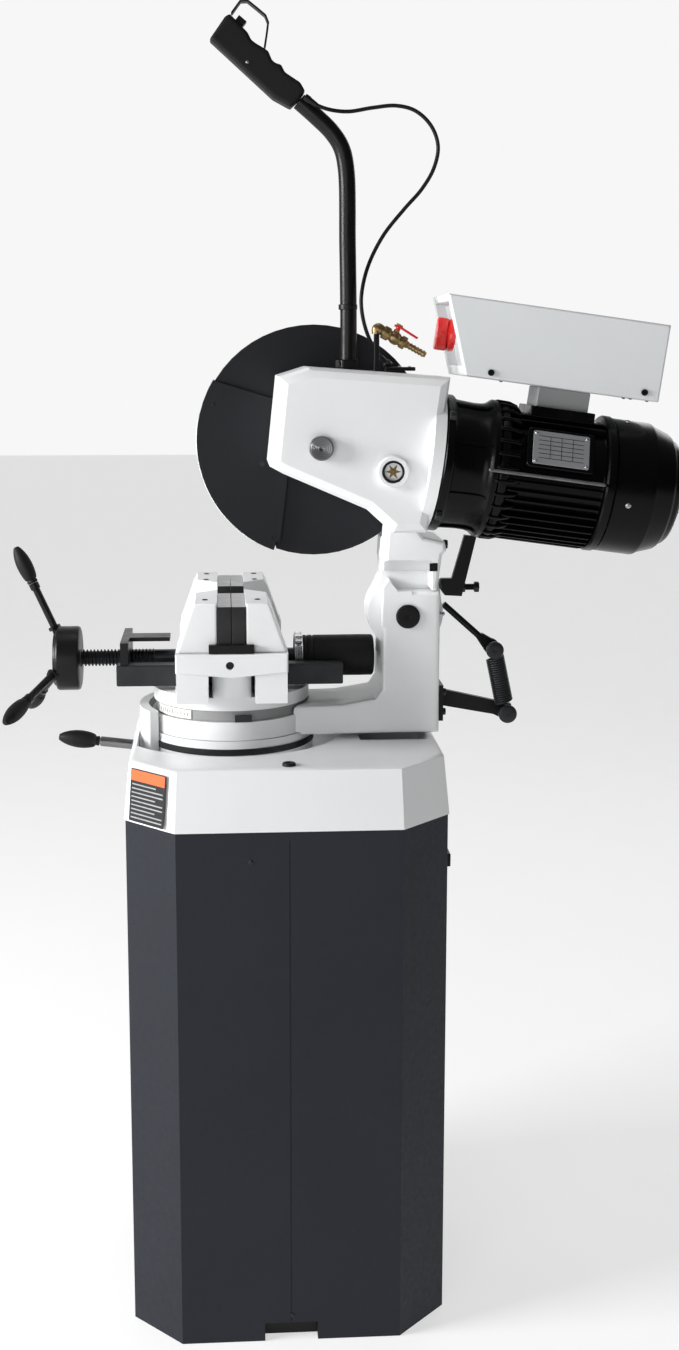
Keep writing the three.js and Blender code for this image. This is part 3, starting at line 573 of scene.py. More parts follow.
# ---------------------------------------------------------------- swing arm
def build_arm():
    cad_copy("swing_arm", CAST, 3.2, 3, 28)
    cad_copy("swing_pointer", DARK_STEEL, 0.3)
    pivot = JOINTS["head_tilt"]["pos_m"]
    low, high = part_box("pivot_shaft")
    radius = (high.z - low.z) / 2 / MM
    profile = [(0, 1.6), (3.2, 1.6), (3.8, 0.6), (radius - 3.0, 0), (radius - 0.6, 0.9), (radius, 2.2),
               (radius, 4.6), (14.6, 4.7), (14.6, 136), (13.8, 137), (0, 137)]
    shaft = lathe("pivot_shaft_skin", profile, (pivot[0], low.y, pivot[2]), Y, 64)
    piece(shaft, "arm", BLACK, "pivot_shaft", angle=24)
    cad_copy("spring_bracket", BLACK, 1.2, 2)
    for i, z in enumerate((0.905, 0.936)):
        hex_head(f"bracket_bolt_{i}", (high.x + 0.0386, -0.052, z), X, 10, 5, "arm", DARK_STEEL)
    pin("spring_pin_low", "arm")
    nipple = [(0, 0), (4.6, 0), (4.6, 2.4), (2.2, 2.8), (1.9, 5), (3.0, 6.2), (3.0, 7.6), (1.6, 9), (0, 9)]
    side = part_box("swing_arm")[1].x
    piece(lathe("grease_nipple", nipple, (side - 0.0004, -0.060, pivot[2] + 0.001), X, 20), "arm", TURNED)


def pin(node, body):
    """Headed pin with a washer groove and a domed head."""
    low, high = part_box(node)
    centre = Vector((mid(node).x, low.y, mid(node).z))
    r = (high.x - low.x) / 2 / MM * 1.28
    length = (high.y - low.y) / MM
    profile = [(0, 1.2), (2.6, 1.2), (3.0, 0.2), (r * 0.72, 0), (r * 0.94, 0.9), (r, 2.4), (r, 5.6),
               (r * 0.9, 6), (4, 6.1), (4, length - 1), (3.2, length), (0, length)]
    return piece(lathe(node + "_skin", profile, centre, Y, 40), body, DARK_STEEL, node, angle=24)


# ---------------------------------------------------------------- vise
def build_vise():
    cad_copy("vise_base", CAST, 2.6, 3, 28)
    cad_copy("bed_flange", BLACK, 0.8)
    # Painted shade: a thin black disc on the bridge stands in for the dark inside its hole; no hole is cut.
    hole_shade = lathe("bed_hole_shade", [(0, 0), (5.8, 0), (5.8, 1), (0, 1)],
                 (-0.0027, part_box("vise_base")[0].y + 0.006, 1.003), Y, 24)
    piece(hole_shade, "base", INK)
    for rail in ("near_rail", "far_rail"):
        cad_copy(rail, DARK_STEEL, 1.0, 2)
    cad_copy("screw_bracket", BLACK, 1.4, 2)
    for side in ("left", "right"):
        cad_copy(f"{side}_jaw", CAST, 2.6, 3, 28)
        for end in ("near", "far"):
            two_tone(cad_copy(f"{side}_plate_{end}", PLATE_TOP, 0.9, 2), GROUND)
        sign = -1 if side == "left" else 1
        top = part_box(f"{side}_jaw")[1].z
        low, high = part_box(f"{side}_plate_near")
        outer = low.x if sign < 0 else high.x
        far_low, far_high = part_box(f"{side}_plate_far")
        for screw, y in (("set_screw_0", low.y + 0.030), ("far_screw_0", far_low.y + 0.030),
                         ("far_screw_1", far_high.y - 0.026)):
            socket_head(f"{side}_{screw}", (outer + sign * 0.018, y, top - 0.0012), Z, 4.2, 2.2,
                        f"jaw_{side}", DARK_STEEL)
    build_boot()
    build_lead_screw()


def build_boot():
    low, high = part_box("screw_boot")
    centre = Vector((low.x, mid("screw_boot").y, mid("screw_boot").z))
    r = (high.z - low.z) / 2 / MM
    length = (high.x - low.x) / MM
    profile = [(20, 0), (r - 0.8, 0), (r, 1)]
    for k in range(2):
        d = 17 + 9 * k
        profile += [(r, d), (r - 1.1, d + 1.4), (r - 1.1, d + 2.6), (r, d + 4)]
    profile += [(r, length * 0.55), (r + 0.2, length * 0.8), (r, length - 3), (r - 2, length - 0.8),
                (r - 4, length), (0, length), (0, length - 8), (20, length - 14)]
    piece(lathe("screw_boot_skin", profile, centre, X, 64), "base", RUBBER, "screw_boot", angle=28)
    c_low, c_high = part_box("boot_clamp")
    cr = (c_high.z - c_low.z) / 2 / MM
    width = (c_high.x - c_low.x) / MM
    band = [(cr - 4.8, 0), (cr - 0.4, 0), (cr, 0.6), (cr, 2.6), (cr - 1, 3.4), (cr - 1, width - 3.4),
            (cr, width - 2.6), (cr, width - 0.6), (cr - 0.4, width), (cr - 4.8, width)]
    start = Vector((c_low.x, centre.y, centre.z))
    piece(lathe("boot_clamp_skin", band, start, X, 64), "base", CHROME, "boot_clamp", angle=28)
    box_at = start + Vector((0.001, -cr * MM * 0.62, cr * MM * 0.80))
    worm = cuboid("clamp_housing", box_at - Vector((0.001, 0.008, 0.003)),
                  box_at + Vector((0.011, 0.008, 0.006)), 1.4)
    piece(worm, "base", CHROME)
    hex_head("clamp_screw", box_at + Vector((0.005, -0.008, 0.0015)), -Y, 6.5, 5, "base", CHROME)


def build_lead_screw():
    """A real thread where the screw shows, and a plain core where it is covered."""
    low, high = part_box("lead_screw")
    centre = mid("lead_screw")
    r = (high.z - low.z) / 2
    pitch, sides, per = 0.0053, 40, 10
    start, end = low.x, low.x + 0.112
    rings = int((end - start) / pitch * per)
    verts = []
    for k in range(rings + 1):
        x = start + (end - start) * k / rings
        for i in range(sides):
            a = 2 * math.pi * i / sides
            phase = ((x - start) / pitch - i / sides) % 1.0
            flank = abs(phase - 0.5) * 2
            depth = min(1.0, max(0.0, (flank - 0.25) / 0.5))
            radius = r - 0.0030 * depth
            verts.append((x, centre.y + radius * math.cos(a), centre.z + radius * math.sin(a)))
    thread = from_faces("lead_thread", verts, ring_faces(rings + 1, sides))
    hidden = (high.x - end) / MM
    core = lathe("lead_core", [(0, 0), (11, 0), (11, hidden), (0, hidden)],
                 (end, centre.y, centre.z), X, 40)
    piece(joined("lead_screw_skin", [thread, core]), "screw", DARK_STEEL, "lead_screw", angle=40)


def build_handwheel():
    joint = JOINTS["screw_turn"]["pos_m"]
    centre = Vector((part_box("handwheel")[1].x, joint[1], joint[2]))
    lean = math.radians(25)
    hub = [(0, 1), (14, 1), (14, 0), (44, 0), (47.6, 1.4), (49, 4.5), (49, 33), (47.4, 35.6), (43, 37),
           (41, 40), (17, 40), (15, 38), (9, 38), (8, 36), (0, 36)]
    parts = [lathe("wheel_hub", hub, centre, -X, 72)]
    for i in range(3):
        tip = mid(f"wheel_knob_{i + 1}")
        offset = tip - Vector((tip.x, centre.y, centre.z))
        radial = Vector((0, offset.y, offset.z)).normalized()
        ray = (radial * math.cos(lean) - X * math.sin(lean)).normalized()
        root = centre - X * 0.018
        profile = [(0, 20), (6, 20), (6, 52), (5.6, 53), (5.6, 116), (7.6, 118), (7.6, 126.6), (0, 126.6)]
        parts.append(lathe(f"spoke_{i}", profile, root, ray, 28))
        handle_knob(root + ray * 0.1274, ray, 61, 12.0, 8.2, "screw", f"wheel_knob_{i + 1}")
        hex_head(f"spoke_nut_{i}", root + ray * 0.0485, ray, 17, 6, "screw", BLACK)
    piece(joined("handwheel_skin", parts), "screw", BLACK, "handwheel", angle=30)


# ---------------------------------------------------------------- head
def build_gearbox():
    cad_copy("gearbox", CAST, 3.0, 3, 13)
    sight = mid("oil_sight")
    centre = Vector((sight.x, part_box("oil_sight")[1].y + 0.0002, sight.z))
    ring = lathe("sight_ring", [(12.4, -3), (12.4, 3.6), (13.2, 4.4), (14.6, 4.4), (15.4, 3.6), (15.4, -3)],
                 centre, -Y, 48)
    piece(ring, "head", PLASTIC, "oil_sight", angle=25)
    boss = lathe("sight_boss", [(15.6, -2), (15.6, 3.4), (16.4, 4.6), (20.6, 4.6), (22.4, 2.6), (22.4, -2)],
                 centre, -Y, 64)
    piece(boss, "head", CAST)
    back = lathe("sight_well", [(0, -2.4), (12.3, -2.4), (12.3, -1.6), (0, -1.6)], centre, -Y, 32)
    piece(back, "head", INK)
    star = []
    for k in range(12):
        r = 11.6 if k % 2 == 0 else 4.6
        a = math.radians(30 * k)
        star.append((r * math.cos(a), r * math.sin(a)))
    rosette = prism("sight_star", star, 1.6, centre + Y * 0.0014, X, Z, 0.5, 2)
    piece(rosette, "head", BRASS)
    cap = lathe("star_boss", [(0, 1.2), (2.2, 1.2), (2.8, 0.6), (2.8, -1), (0, -1)], centre, -Y, 24)
    piece(cap, "head", BRASS)
    pivot = JOINTS["head_tilt"]["pos_m"]
    neck = Vector((pivot[0] + 0.034, -0.104, pivot[2] + 0.078))
    plate = cuboid("neck_plate", neck - Vector((0.006, 0.0012, 0.006)),
                   neck + Vector((0.006, 0.0004, 0.006)), 0.6)
    piece(plate, "head", BLACK)
    hex_head("neck_bolt", (pivot[0] + 0.0520, -0.070, pivot[2] + 0.108), X, 13, 7, "head", DARK_STEEL)


def build_guards():
    spindle = JOINTS["guard_turn"]["pos_m"]
    cad_copy("fixed_guard", GUARD, 0.8, 2, 30)
    cad_copy("moving_guard", GUARD, 0.7, 2, 30)
    face, back = (corner.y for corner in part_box("moving_guard"))
    for i, (a, r) in enumerate(((203.5, 84), (160, 158), (246, 158))):
        angle = math.radians(a)
        at = Vector((spindle[0] + r * MM * math.cos(angle), face, spindle[2] + r * MM * math.sin(angle)))
        if i == 0:
            socket_head("hood_screw", at, -Y, 4.0, 0.3, "guard", DARK_STEEL)
        else:
            pan_head(f"hood_rivet_{i}", at, -Y, 3.0, 1.0, "guard", GUARD)
    # Painted highlight: a pale grey strip along the hood's outer rim stands in for light caught on the rim's edge.
    rim_highlight = rim_strip("hood_rim_highlight", spindle, 174.6, 175.4, face + 0.002, back - 0.002, 166, 247)
    piece(rim_highlight, "guard", GREY, angle=40)


def rim_strip(name, centre, r0, r1, y0, y1, start, end, steps=48):
    """Thin curved strip round an axis along Y, with rounded ends."""
    verts = []
    for k in range(steps + 1):
        a = math.radians(start + (end - start) * k / steps)
        taper = min(1.0, k / 5, (steps - k) / 5)
        half = (y1 - y0) / 2 * (0.35 + 0.65 * math.sin(taper * math.pi / 2))
        m = (y0 + y1) / 2
        for r, y in ((r0, m - half), (r1, m - half + 0.0006), (r1, m + half - 0.0006), (r0, m + half)):
            verts.append((centre[0] + r * MM * math.cos(a), y, centre[2] + r * MM * math.sin(a)))
    return from_faces(name, verts, ring_faces(steps + 1, 4))


def build_spindle():
    low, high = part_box("spindle")
    centre = JOINTS["spindle_turn"]["pos_m"]
    length = (high.y - low.y) / MM
    r = (high.x - low.x) / 2 / MM
    rings = [(0, 3.4), (1.5, 2.8), (2.2, 0.8)]
    for k in range(5):
        d = 3.0 + 2.5 * k
        rings += [(d, 0.35), (d + 1.2, 0.0), (d + 1.5, 0.3), (d + 2.1, 0.3)]
    profile = rings + [(r - 0.8, 0.4), (r, 1.4), (r, 11.6), (15.4, 12), (15.4, length), (0, length)]
    piece(lathe("spindle_skin", profile, (centre[0], low.y, centre[2]), Y, 72), "spindle_set", CAP_STEEL,
          "spindle", angle=15)
    build_blade(centre)
    flange = [(0, 0), (36, 0), (36, 2), (33, 7), (20, 8), (18, 9), (16, 9.4), (16, 17), (15, 18), (0, 18)]
    root = (centre[0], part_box("blade_flange")[0].y, centre[2])
    piece(lathe("blade_flange_skin", flange, root, Y, 64), "spindle_set", DARK_STEEL, "blade_flange",
          angle=25)


def build_blade(centre):
    """Toothed disc with gullets."""
    low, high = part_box("blade")
    r = (high.z - low.z) / 2 / MM
    teeth = 120
    outline = []
    for k in range(teeth):
        base = 2 * math.pi * k / teeth
        for share, radius in ((0.0, r), (0.10, r - 0.2), (0.42, r - 2.6), (0.75, r - 4.6), (0.95, r - 4.4)):
            a = base + 2 * math.pi * share / teeth
            outline.append((radius * math.cos(a), radius * math.sin(a)))
    disc = prism("blade_skin", outline, (high.y - low.y) / MM, (centre[0], high.y, centre[2]), X, Z)
    piece(disc, "spindle_set", STEEL, "blade", angle=30)


def motor_frame():
    """Matrix whose columns are the rotor's axis, the two directions across it and its origin."""
    joint = JOINTS["rotor_turn"]
    along = Vector(joint["axis"]).normalized()
    matrix = Matrix.Identity(4)
    for i, axis in enumerate((along, Y, along.cross(Y))):
        matrix.col[i] = (*axis, 0)
    matrix.col[3] = (*joint["pos_m"], 1)
    return matrix


TO_MOTOR = motor_frame()
ALONG, ACROSS, UP, HUB = (TO_MOTOR.col[i].to_3d() for i in range(4))


def at(u, v, w):
    """Point of the motor's frame, in millimetres along, across and up."""
    return TO_MOTOR @ Vector((u * MM, v * MM, w * MM))


def fin(name, angle, outline, thick, edge=0, segments=2):
    """Rib of (along, out) millimetres that stands out from the motor's axis at an angle."""
    out = ACROSS * math.cos(angle) + UP * math.sin(angle)
    return prism(name, outline, thick, HUB - ALONG.cross(out) * (thick / 2 * MM), ALONG, out, edge, segments)


def build_motor():
    adapter = lathe("motor_adapter_skin", [
        (30, -77.6), (95, -77.6), (98, -75), (98, -66), (96.5, -63.5), (94, -62), (92.5, -58), (92, -50),
        (91, -34), (91.5, -22), (93, -16), (96, -12), (98, -9.5), (99, -8), (99, -2), (98, -0.4),
        (30, -0.4)], HUB, ALONG, 96)
    piece(adapter, "head", MOTOR, "motor_adapter", angle=25)
    for k in range(4):
        a = math.radians(45 + 90 * k)
        spot = at(-75, 99 * math.cos(a), 99 * math.sin(a))
        hex_head(f"adapter_bolt_{k}", spot, ALONG, 13, 9, "head", DARK_STEEL)
    waist = [(-63, 88), (-63, 96.5), (-50, 95), (-34, 94.4), (-20, 95), (-11, 97.5), (-11, 88)]
    ribs = [fin(f"adapter_rib_{k}", math.radians(22.5 + 45 * k), waist, 5, 1.0) for k in range(8)]
    piece(joined("adapter_ribs", ribs), "head", MOTOR)

    core = lathe("motor_core", [(74, 0.4), (90, 0.4), (97, 2), (98, 5), (98, 11), (96, 13.5), (88, 15),
                                (87, 18), (87, 148), (88, 151), (96, 152.5), (98, 155), (98, 164),
                                (96, 166), (74, 166)],
                 HUB, ALONG, 96)
    piece(core, "head", MOTOR, "motor_frame", angle=25)
    fins, plain = [], [(14, 84), (14, 94), (18, 97.2), (148, 97.2), (152, 94), (152, 84)]
    for k in range(44):
        a = 2 * math.pi * (k + 0.5) / 44
        v, w = math.cos(a), math.sin(a)
        near_plate = v < -0.62 and 0.02 < w < 0.80
        above = w > 0.90
        if not near_plate and not above:
            fins.append(fin(f"fin_{k}", a, plain, 2.6, 0.8))
    knuckle = [(-8, 92), (-5, 98.6), (2, 100.6), (16, 100.2), (27, 96.5), (33, 90), (34, 84), (0, 84)]
    bell = [fin(f"bell_{k}", 2 * math.pi * (k + 0.5) / 32, knuckle, 5.4, 2.0, 3) for k in range(32)]
    piece(joined("motor_fins", fins), "head", MOTOR)
    piece(joined("motor_bell_ribs", bell), "head", MOTOR)
    build_motor_plate()
    build_cowl()
    rotor = lathe("motor_rotor_skin", [
        (0, -150), (14, -150), (15, -149), (15, 14), (67, 14), (68, 15), (68, 145), (67, 146),
        (16, 146), (16, 196), (30, 196), (34, 199), (34, 220), (30, 222), (0, 222)], HUB, ALONG, 48)
    paddle = [(198, 30), (198, 80), (203, 82), (220, 82), (220, 30)]
    blades = [fin(f"fan_{k}", math.radians(45 * k), paddle, 2.4, 0.6) for k in range(8)]
    piece(joined("motor_rotor_skin_set", [rotor] + blades), "rotor", DARK_STEEL, "motor_rotor", angle=28)


def build_motor_plate():
    """Smooth pad with a blank silver plate, rivets and the rib under it, painted lighter as a highlight."""
    tilt = math.radians(27)
    out = -ACROSS * math.cos(tilt) + UP * math.sin(tilt)
    high = ALONG.cross(out)
    if high.dot(UP) < 0:
        high = -high
    centre = at(84, -86.5 * math.cos(tilt), 86.5 * math.sin(tilt))
    u, v = (ALONG, high) if ALONG.cross(high).dot(out) > 0 else (-ALONG, high)
    pad = prism("plate_pad", round_outline(96, 60, 6), 9.2, centre, u, v, 2.4, 3)
    piece(pad, "head", MOTOR)
    plate = prism("motor_plate", round_outline(80, 50, 3), 1.0, centre + out * 0.0092, u, v, 0.3, 1)
    piece(plate, "head", SILVER)
    lines = []
    for k in range(6):
        w = 17 - 6.6 * k
        lines.append(prism(f"plate_rule_{k}", [(-32, w), (32, w), (32, w + 0.7), (-32, w + 0.7)], 0.25,
                           centre + out * 0.0102, u, v))
    for k in range(3):
        s = -16 + 16 * k
        lines.append(prism(f"plate_column_{k}", [(s, -16), (s + 0.6, -16), (s + 0.6, 17), (s, 17)], 0.25,
                           centre + out * 0.0102, u, v))
    piece(joined("motor_plate_lines", lines), "head", INK)
    for i, (a, b) in enumerate(((-36, 21), (36, 21), (36, -21), (-36, -21))):
        spot = centre + out * 0.0101 + (u * a + v * b) * MM
        rivet = lathe(f"plate_rivet_{i}", [(0, 1.3), (1.2, 1.1), (2.0, 0.5), (2.2, 0), (0, 0)], spot, out, 16)
        piece(rivet, "head", TURNED)
    # The rib's lighter grey material is a painted highlight.
    bar = prism("frame_rib", [(-14, -2.4), (150, -2.4), (152, 0), (150, 2.4), (-14, 2.4)], 12,
                at(0, -88, 4), ALONG, UP, 1.6, 3)
    if ACROSS.dot(ALONG.cross(UP)) > 0:
        bar.data.transform(Matrix.Translation(-ALONG.cross(UP) * 0.012))
    piece(bar, "head", RIB_HIGHLIGHT)
    build_top_pad()


def build_top_pad():
    """Black cast seat round the foot of the terminal riser."""
    sides = []
    walls = ((41, 134, -44, -33), (41, 134, 41, 50), (41, 49, -36, 44), (126, 134, -36, 44))
    for i, (u0, u1, v0, v1) in enumerate(walls):
        outline = [(0, 0), (u1 - u0, 0), (u1 - u0, v1 - v0), (0, v1 - v0)]
        sides.append(prism(f"seat_{i}", outline, 19, at(u0, v0, 80), ALONG, ACROSS, 2.0, 3))
    piece(joined("terminal_seat", sides), "head", MOTOR)


def build_cowl():
    cowl = lathe("fan_cowl_skin", [
        (74, 166.4), (94.5, 166.4), (96, 168), (96, 222), (95.2, 225), (92, 230), (84.6, 251), (82, 254.5),
        (78, 256.5), (76.5, 258.5), (75, 263), (71, 267), (60, 270.6), (44, 273), (20, 274.4), (0, 274.6),
        (0, 271), (40, 269.6),
        (60, 266), (74, 256), (80, 248), (89, 226), (92.6, 218), (92.6, 172), (74, 172)], HUB, ALONG, 112)
    piece(cowl, "head", MOTOR, "fan_cowl", angle=28)
    rings = []
    for k, (r, d) in enumerate(((22, 275.2), (34, 274.6), (46, 273.6), (58, 271.8))):
        wire = [(r - 1.4, d - 1.5), (r + 1.4, d - 1.7), (r + 1.4, d - 0.4), (r - 1.4, d)]
        rings.append(lathe(f"grille_ring_{k}", wire, HUB, ALONG, 64))
    bar = [(272, 18), (275.4, 18), (274.2, 44), (271.8, 60), (268, 60)]
    rings += [fin(f"grille_bar_{k}", 2 * math.pi * k / 16, bar, 1.8) for k in range(16)]
    piece(joined("cowl_grille", rings), "head", BLACK, angle=28)
    for k, a in enumerate((192, 282, 12, 102)):
        v, w = math.cos(math.radians(a)), math.sin(math.radians(a))
        out = ACROSS * v + UP * w
        pan_head(f"cowl_screw_{k}", at(188, 96 * v, 96 * w), out, 4.2, 2.4, "head", TURNED)


def build_switch_box():
    cad_copy("switch_box", GREY, 1.8, 3, 28)
    cad_copy("terminal_riser", RISER, 1.6, 2)
    for i, (u, w) in enumerate(((-22, 136), (199, 138))):
        socket_head(f"box_screw_{i}", at(u, -40, w), -ACROSS, 4.6, 2.6, "head", BLACK)
    for i, (u, v) in enumerate(((172, -33), (182, -33), (206, -33), (206, 100), (20, 110))):
        pan_head(f"box_under_screw_{i}", at(u, v, 127), -UP, 2.6, 1.6, "head", DARK_STEEL)
    axis = Vector(JOINTS["switch_turn"]["axis"]).normalized()
    base = at(-69.5, 45, 182)
    dial = lathe("switch_dial", [(0, 0), (23, 0), (23.6, 5), (22, 9), (14, 10.4), (0, 10.4)], base, axis, 48)
    grip = prism("switch_grip", [(-23.5, -9), (-16, -11.5), (11, -8.6), (23, -6), (23, 6), (11, 8.6),
                                 (-16, 11.5), (-23.5, 9)], 17, base + axis * 0.0100, UP, axis.cross(UP),
                 2.6, 4)
    knob = joined("switch_knob_skin", [dial, grip])
    piece(knob, "switch", RED, "switch_knob", angle=35)


def build_handle():
    y = mid("grip").y
    line = [(103.8, 1800.6), (129, 1779), (150, 1759), (164, 1738), (171, 1709), (173.5, 1600),
            (175, 1500), (175, 1423.6)]
    points = [(x * MM, y, z * MM) for x, z in line]
    handle = tube("handle_tube_skin", points, 0.0122, 36, 140)
    piece(handle, "head", BLACK, "handle_tube", angle=40)
    foot = Vector((0.175, y, 1.4236))
    clamp = prism("handle_clamp", round_outline(27.5, 29, 7), 13, foot, X, Y, 2.0, 3)
    piece(clamp, "head", BLACK)
    hex_head("clamp_nut", foot + Vector((-0.0132, -0.008, 0.0065)), -X, 10, 6, "head", CAP_STEEL)
    collar = lathe("handle_collar", [(12.3, 0), (13.8, 0.6), (13.8, 7.4), (12.3, 8)],
                   (0.1742, y, 1.508), Z, 36)
    piece(collar, "head", PLASTIC)
    build_grip()


def build_grip():
    """Moulded grip with its trigger and trigger guard."""
    mesh = frame["nodes"]["grip"].data.copy()
    obj = new_object("grip_skin", mesh)
    remesh = obj.modifiers.new("remesh", "REMESH")
    remesh.mode = "VOXEL"
    remesh.voxel_size = 0.0016
    bake(obj)
    ease = obj.modifiers.new("ease", "SMOOTH")
    ease.factor = 0.5
    ease.iterations = 9
    bake(obj)
    piece(obj, "head", RUBBER, "grip", angle=180)
    mesh = frame["nodes"]["trigger"].data.copy()
    trigger = new_object("trigger_skin", mesh)
    bevel(trigger, 3.0, 4, 30)
    piece(trigger, "trigger_key", PLASTIC, "trigger")
    cad_copy("trigger_guard", PLASTIC, 0.9, 2, 40)
    pan_head("grip_screw", (0.0298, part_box("grip")[0].y + 0.0006, 1.8512), -Y, 2.4, 1.2, "head", TURNED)


CABLE_ROUTE = [
    (113.5, -76, 1803), (127, -76, 1794), (145, -74, 1788), (174, -62, 1787), (210, -60, 1793),
    (243, -60, 1796), (271, -60, 1789), (294, -60, 1768), (304, -60, 1740), (298, -60, 1709),
    (281, -60, 1680), (256, -60, 1652), (226, -60, 1615), (205, -62, 1575), (194, -76, 1539),
    (192, -80, 1514), (199, -76, 1480), (214, -70, 1449), (232, -66, 1429)]


def build_cable():
    dense = smooth_line([tuple(c * MM for c in p) for p in CABLE_ROUTE], 12 * (len(CABLE_ROUTE) - 1))
    curve = bpy.data.curves.new("control_cable_skin", "CURVE")
    curve.dimensions = "3D"
    curve.bevel_depth = 0.0028
    curve.bevel_resolution = 6
    curve.use_fill_caps = True
    spline = curve.splines.new("POLY")
    spline.points.add(len(dense) - 1)
    for point, p in zip(spline.points, dense):
        point.co = (*p, 1)
    cable = new_object("control_cable_skin", curve)
    cable.data.materials.append(PLASTIC)
    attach(cable, "head")
    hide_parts("control_cable")
    start, direction = dense[0], (dense[1] - dense[0]).normalized()
    relief = lathe("cable_relief", [(0, -3), (4.8, -3), (5, -2), (5, 4), (4.2, 7), (3.6, 16), (3.3, 18),
                                    (0, 18)], start, direction, 24)
    piece(relief, "head", PLASTIC)
    end, back = dense[-1], (dense[-2] - dense[-1]).normalized()
    cad_copy("cable_gland", BLACK, 1.2, 2)
    gland = lathe("gland_body", [(0, -3), (7, -3), (7, 4), (6, 5), (4.6, 6), (4, 14), (3.2, 16), (0, 16)],
                  end, back, 24)
    piece(gland, "head", BLACK)
    hex_head("gland_nut", end + back * 0.001, back, 13, 4, "head", DARK_STEEL)
    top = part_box("cable_gland")[1].z
    for k, x in enumerate((0.250, 0.264)):
        pan_head(f"gland_screw_{k}", (x, mid("cable_gland").y, top), Z, 3, 1.6, "head", TURNED)


def build_valve():
    y = mid("valve_body").y
    start = Vector((0.211, y, 1.481))
    along = Vector((70, 0, -38)).normalized()
    profile = [(0, 0), (7.2, 0.2), (7.6, 1), (7.6, 7), (6.4, 7.6), (6.4, 9.4), (9.2, 10), (9.6, 11),
               (9.6, 19), (9.0, 20), (7.4, 20.6), (7.2, 23), (9.0, 26), (9.5, 30), (9.0, 34), (7.2, 36.4),
               (7.2, 38), (8.8, 38.6), (9.2, 39.4), (9.2, 45.4), (8.6, 46.2), (5.4, 47), (5.0, 50)]
    for k in range(5):
        d = 52 + 5.2 * k
        profile += [(4.0, d), (5.2, d + 3.6), (4.2, d + 4.0)]
    profile += [(3.8, 79.6), (0, 79.6)]
    body = lathe("valve_barrel", profile, start, along, 40)
    elbow = tube("valve_elbow", [(0.2105, y, 1.4730), (0.2105, y, 1.4800), (0.2135, y, 1.4815),
                                 (0.220, y, 1.4770)], 0.0066, 24, 24)
    piece(joined("valve_body_skin", [body, elbow]), "head", BRASS, "valve_body", angle=30)
    for i, (d, across) in enumerate(((11, 18.6), (39.2, 17.6))):
        hex_head(f"valve_hex_{i}", start + along * (d * MM), along, across, 7.5, "head", BRASS)
    cad_copy("valve_post", BLACK, 0.8)
    joint = JOINTS["valve_turn"]
    axis = Vector(joint["axis"]).normalized()
    base = Vector(joint["pos_m"])
    stem = lathe("valve_stem", [(0, -3), (4.4, -3), (4.4, 1.2), (3.0, 2), (3.0, 6.4), (5.2, 6.8), (5.2, 10),
                                (4.4, 10.8), (0, 10.8)], base, axis, 24)
    piece(stem, "valve", BRASS)
    cad_copy("valve_lever", RED, 0.8, 2)


def build_stop_and_springs():
    cad_copy("stop_arm", BLACK, 1.4, 2)
    bolt_mid = mid("stop_bolt")
    centre = Vector((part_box("stop_bolt")[0].x, bolt_mid.y, bolt_mid.z))
    shank = [(0, 0), (4.2, 0), (5, 1)]
    for k in range(36):
        d = 1.4 + 1.3 * k
        shank += [(5, d), (4.3, d + 0.65)]
    shank += [(5, 48.4), (5, 49), (0, 49)]
    bolt = lathe("stop_shank", shank, centre, X, 28)
    piece(bolt, "head", DARK_STEEL, "stop_bolt", angle=50)
    hex_head("stop_head", centre + X * 0.0486, X, 15.2, 7.2, "head", DARK_STEEL)
    hex_head("stop_nut", centre + X * 0.0288, X, 15.2, 6, "head", DARK_STEEL)
    cad_copy("spring_rod", BLACK, 1.0, 2)
    pin("spring_pin_high", "head")
    build_spring()


def build_spring():
    """Two interleaved coils that close on each other at rest and draw apart as the head comes down."""
    low_pin = Vector(JOINTS["spring_follow"]["pos_m"])
    ray = Vector(JOINTS["spring_stretch"]["axis"]).normalized()
    side = Y
    front = ray.cross(side).normalized()
    coil_r, wire = 12.7 * MM, 1.8 * MM

    def coil(name, first, last):
        pitch = 7.2 * MM
        turns = (last - first) / pitch
        steps = int(turns * 28)
        points = []
        for k in range(steps + 1):
            a = 2 * math.pi * (turns * k / steps)
            d = first + (last - first) * k / steps
            points.append(low_pin + ray * d + (side * math.cos(a) + front * math.sin(a)) * coil_r)
        return tube(name, points, wire, 10)

    lower = coil("spring_lower_coil", 14 * MM, 86 * MM)
    upper = coil("spring_upper_coil", 17.6 * MM, 89.6 * MM)

    def hook(name, centre, sign):
        points = []
        for k in range(25):
            a = math.radians(-150 + 300 * k / 24)
            points.append(centre + (ray * sign * math.cos(a) + front * math.sin(a)) * 6.6 * MM)
        return tube(name, points, wire * 0.95, 10)

    low_hook = hook("spring_low_hook", low_pin, 1)
    low_neck = tube("spring_low_neck", [low_pin + ray * 0.0066, low_pin + ray * 0.011 + side * 0.004,
                                        low_pin + ray * 0.0145 + side * 0.0122], wire * 0.95, 10, 18)
    piece(joined("spring_coil_skin", [lower, low_hook, low_neck]), "spring_link", DARK_STEEL, "spring_coil",
          angle=60)
    high_pin = mid("spring_pin_high")
    high_pin = Vector((high_pin.x, low_pin.y, high_pin.z))
    high_hook = hook("spring_high_hook", high_pin, -1)
    high_neck = tube("spring_high_neck", [high_pin - ray * 0.0066, high_pin - ray * 0.0095 + side * 0.004,
                                          low_pin + ray * 0.0890 + side * 0.0122], wire * 0.95, 10, 18)
    piece(joined("spring_upper_skin", [upper, high_hook, high_neck]), "spring_end", DARK_STEEL,
          "spring_drawbar", angle=60)


# ---------------------------------------------------------------- stage
FLOOR_TONE, FLOOR_GLOW, ROOM_LEVEL = 0.42, 0.60, 0.07
AIM = Vector((0.15, 0, 0.95))
LIGHTS = (("key", (-3.4, -0.95, 2.0), 215, 1.5), ("front", (-1.5, -3.8, 1.3), 36, 2.0),
          ("top", (0.1, 0.2, 4.4), 12, 1.6), ("rim_highlight", (1.8, 2.2, 2.4), 8, 1.4))


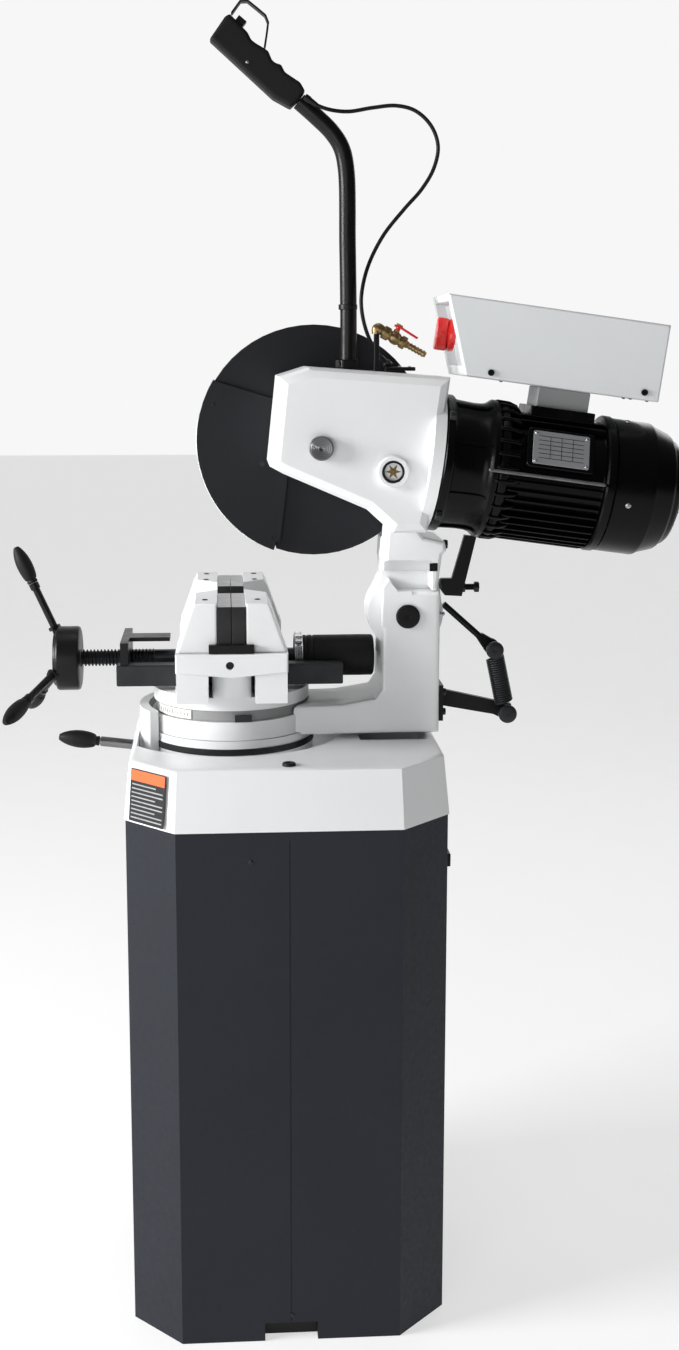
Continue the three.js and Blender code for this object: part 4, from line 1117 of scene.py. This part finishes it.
def build_stage():
    """A pale floor that glows a little, a bright room and four area lights."""
    bm = bmesh.new()
    bmesh.ops.create_grid(bm, x_segments=2, y_segments=2, size=14)
    mesh = bpy.data.meshes.new("floor")
    bm.to_mesh(mesh)
    bm.free()
    floor = new_object("floor", mesh)
    floor.location = (0, 6, -0.0005)
    material = surface("pale_floor", (FLOOR_TONE,) * 3, 0.7, vary=0.005, grain=80, relief=0.01)
    glow = material.node_tree.nodes["Principled BSDF"]
    glow.inputs["Emission Color"].default_value = (1, 1, 1, 1)
    glow.inputs["Emission Strength"].default_value = FLOOR_GLOW
    floor.data.materials.append(material)
    world = bpy.data.worlds.new("studio")
    bpy.context.scene.world = world
    world.use_nodes = True
    light_room(world.node_tree)
    for name, where, energy, size in LIGHTS:
        data = bpy.data.lights.new(name, "AREA")
        data.energy = energy
        data.size = size
        light = bpy.data.objects.new(name, data)
        bpy.context.scene.collection.objects.link(light)
        light.location = where
        light.rotation_mode = "QUATERNION"
        light.rotation_quaternion = (AIM - Vector(where)).to_track_quat("-Z", "Y")
    bpy.context.scene.view_settings.view_transform = "Standard"


def light_room(tree):
    """A room with a bright wall behind the object, softer light from above and dim walls in front."""
    background = tree.nodes["Background"]
    coords = tree.nodes.new("ShaderNodeTexCoord")
    split = tree.nodes.new("ShaderNodeSeparateXYZ")
    tree.links.new(coords.outputs["Generated"], split.inputs["Vector"])
    back = ranged(tree, split.outputs["Y"], 0.0, 0.86, 0.55, 0.9)
    up = ranged(tree, split.outputs["Z"], 0.0, 0.12, 0.3, 0.95)
    total = tree.nodes.new("ShaderNodeMath")
    total.operation = "ADD"
    tree.links.new(back, total.inputs[0])
    tree.links.new(up, total.inputs[1])
    level = tree.nodes.new("ShaderNodeMath")
    level.operation = "ADD"
    level.inputs[1].default_value = ROOM_LEVEL
    tree.links.new(total.outputs["Value"], level.inputs[0])
    tree.links.new(level.outputs["Value"], background.inputs["Strength"])
    background.inputs["Color"].default_value = (1, 1, 1, 1)


build_cable()
build_cabinet()
build_tray()
build_lock_lever()
build_arm()
build_vise()
build_handwheel()
build_gearbox()
build_guards()
build_spindle()
build_motor()
build_switch_box()
build_handle()
build_valve()
build_stop_and_springs()
build_stage()
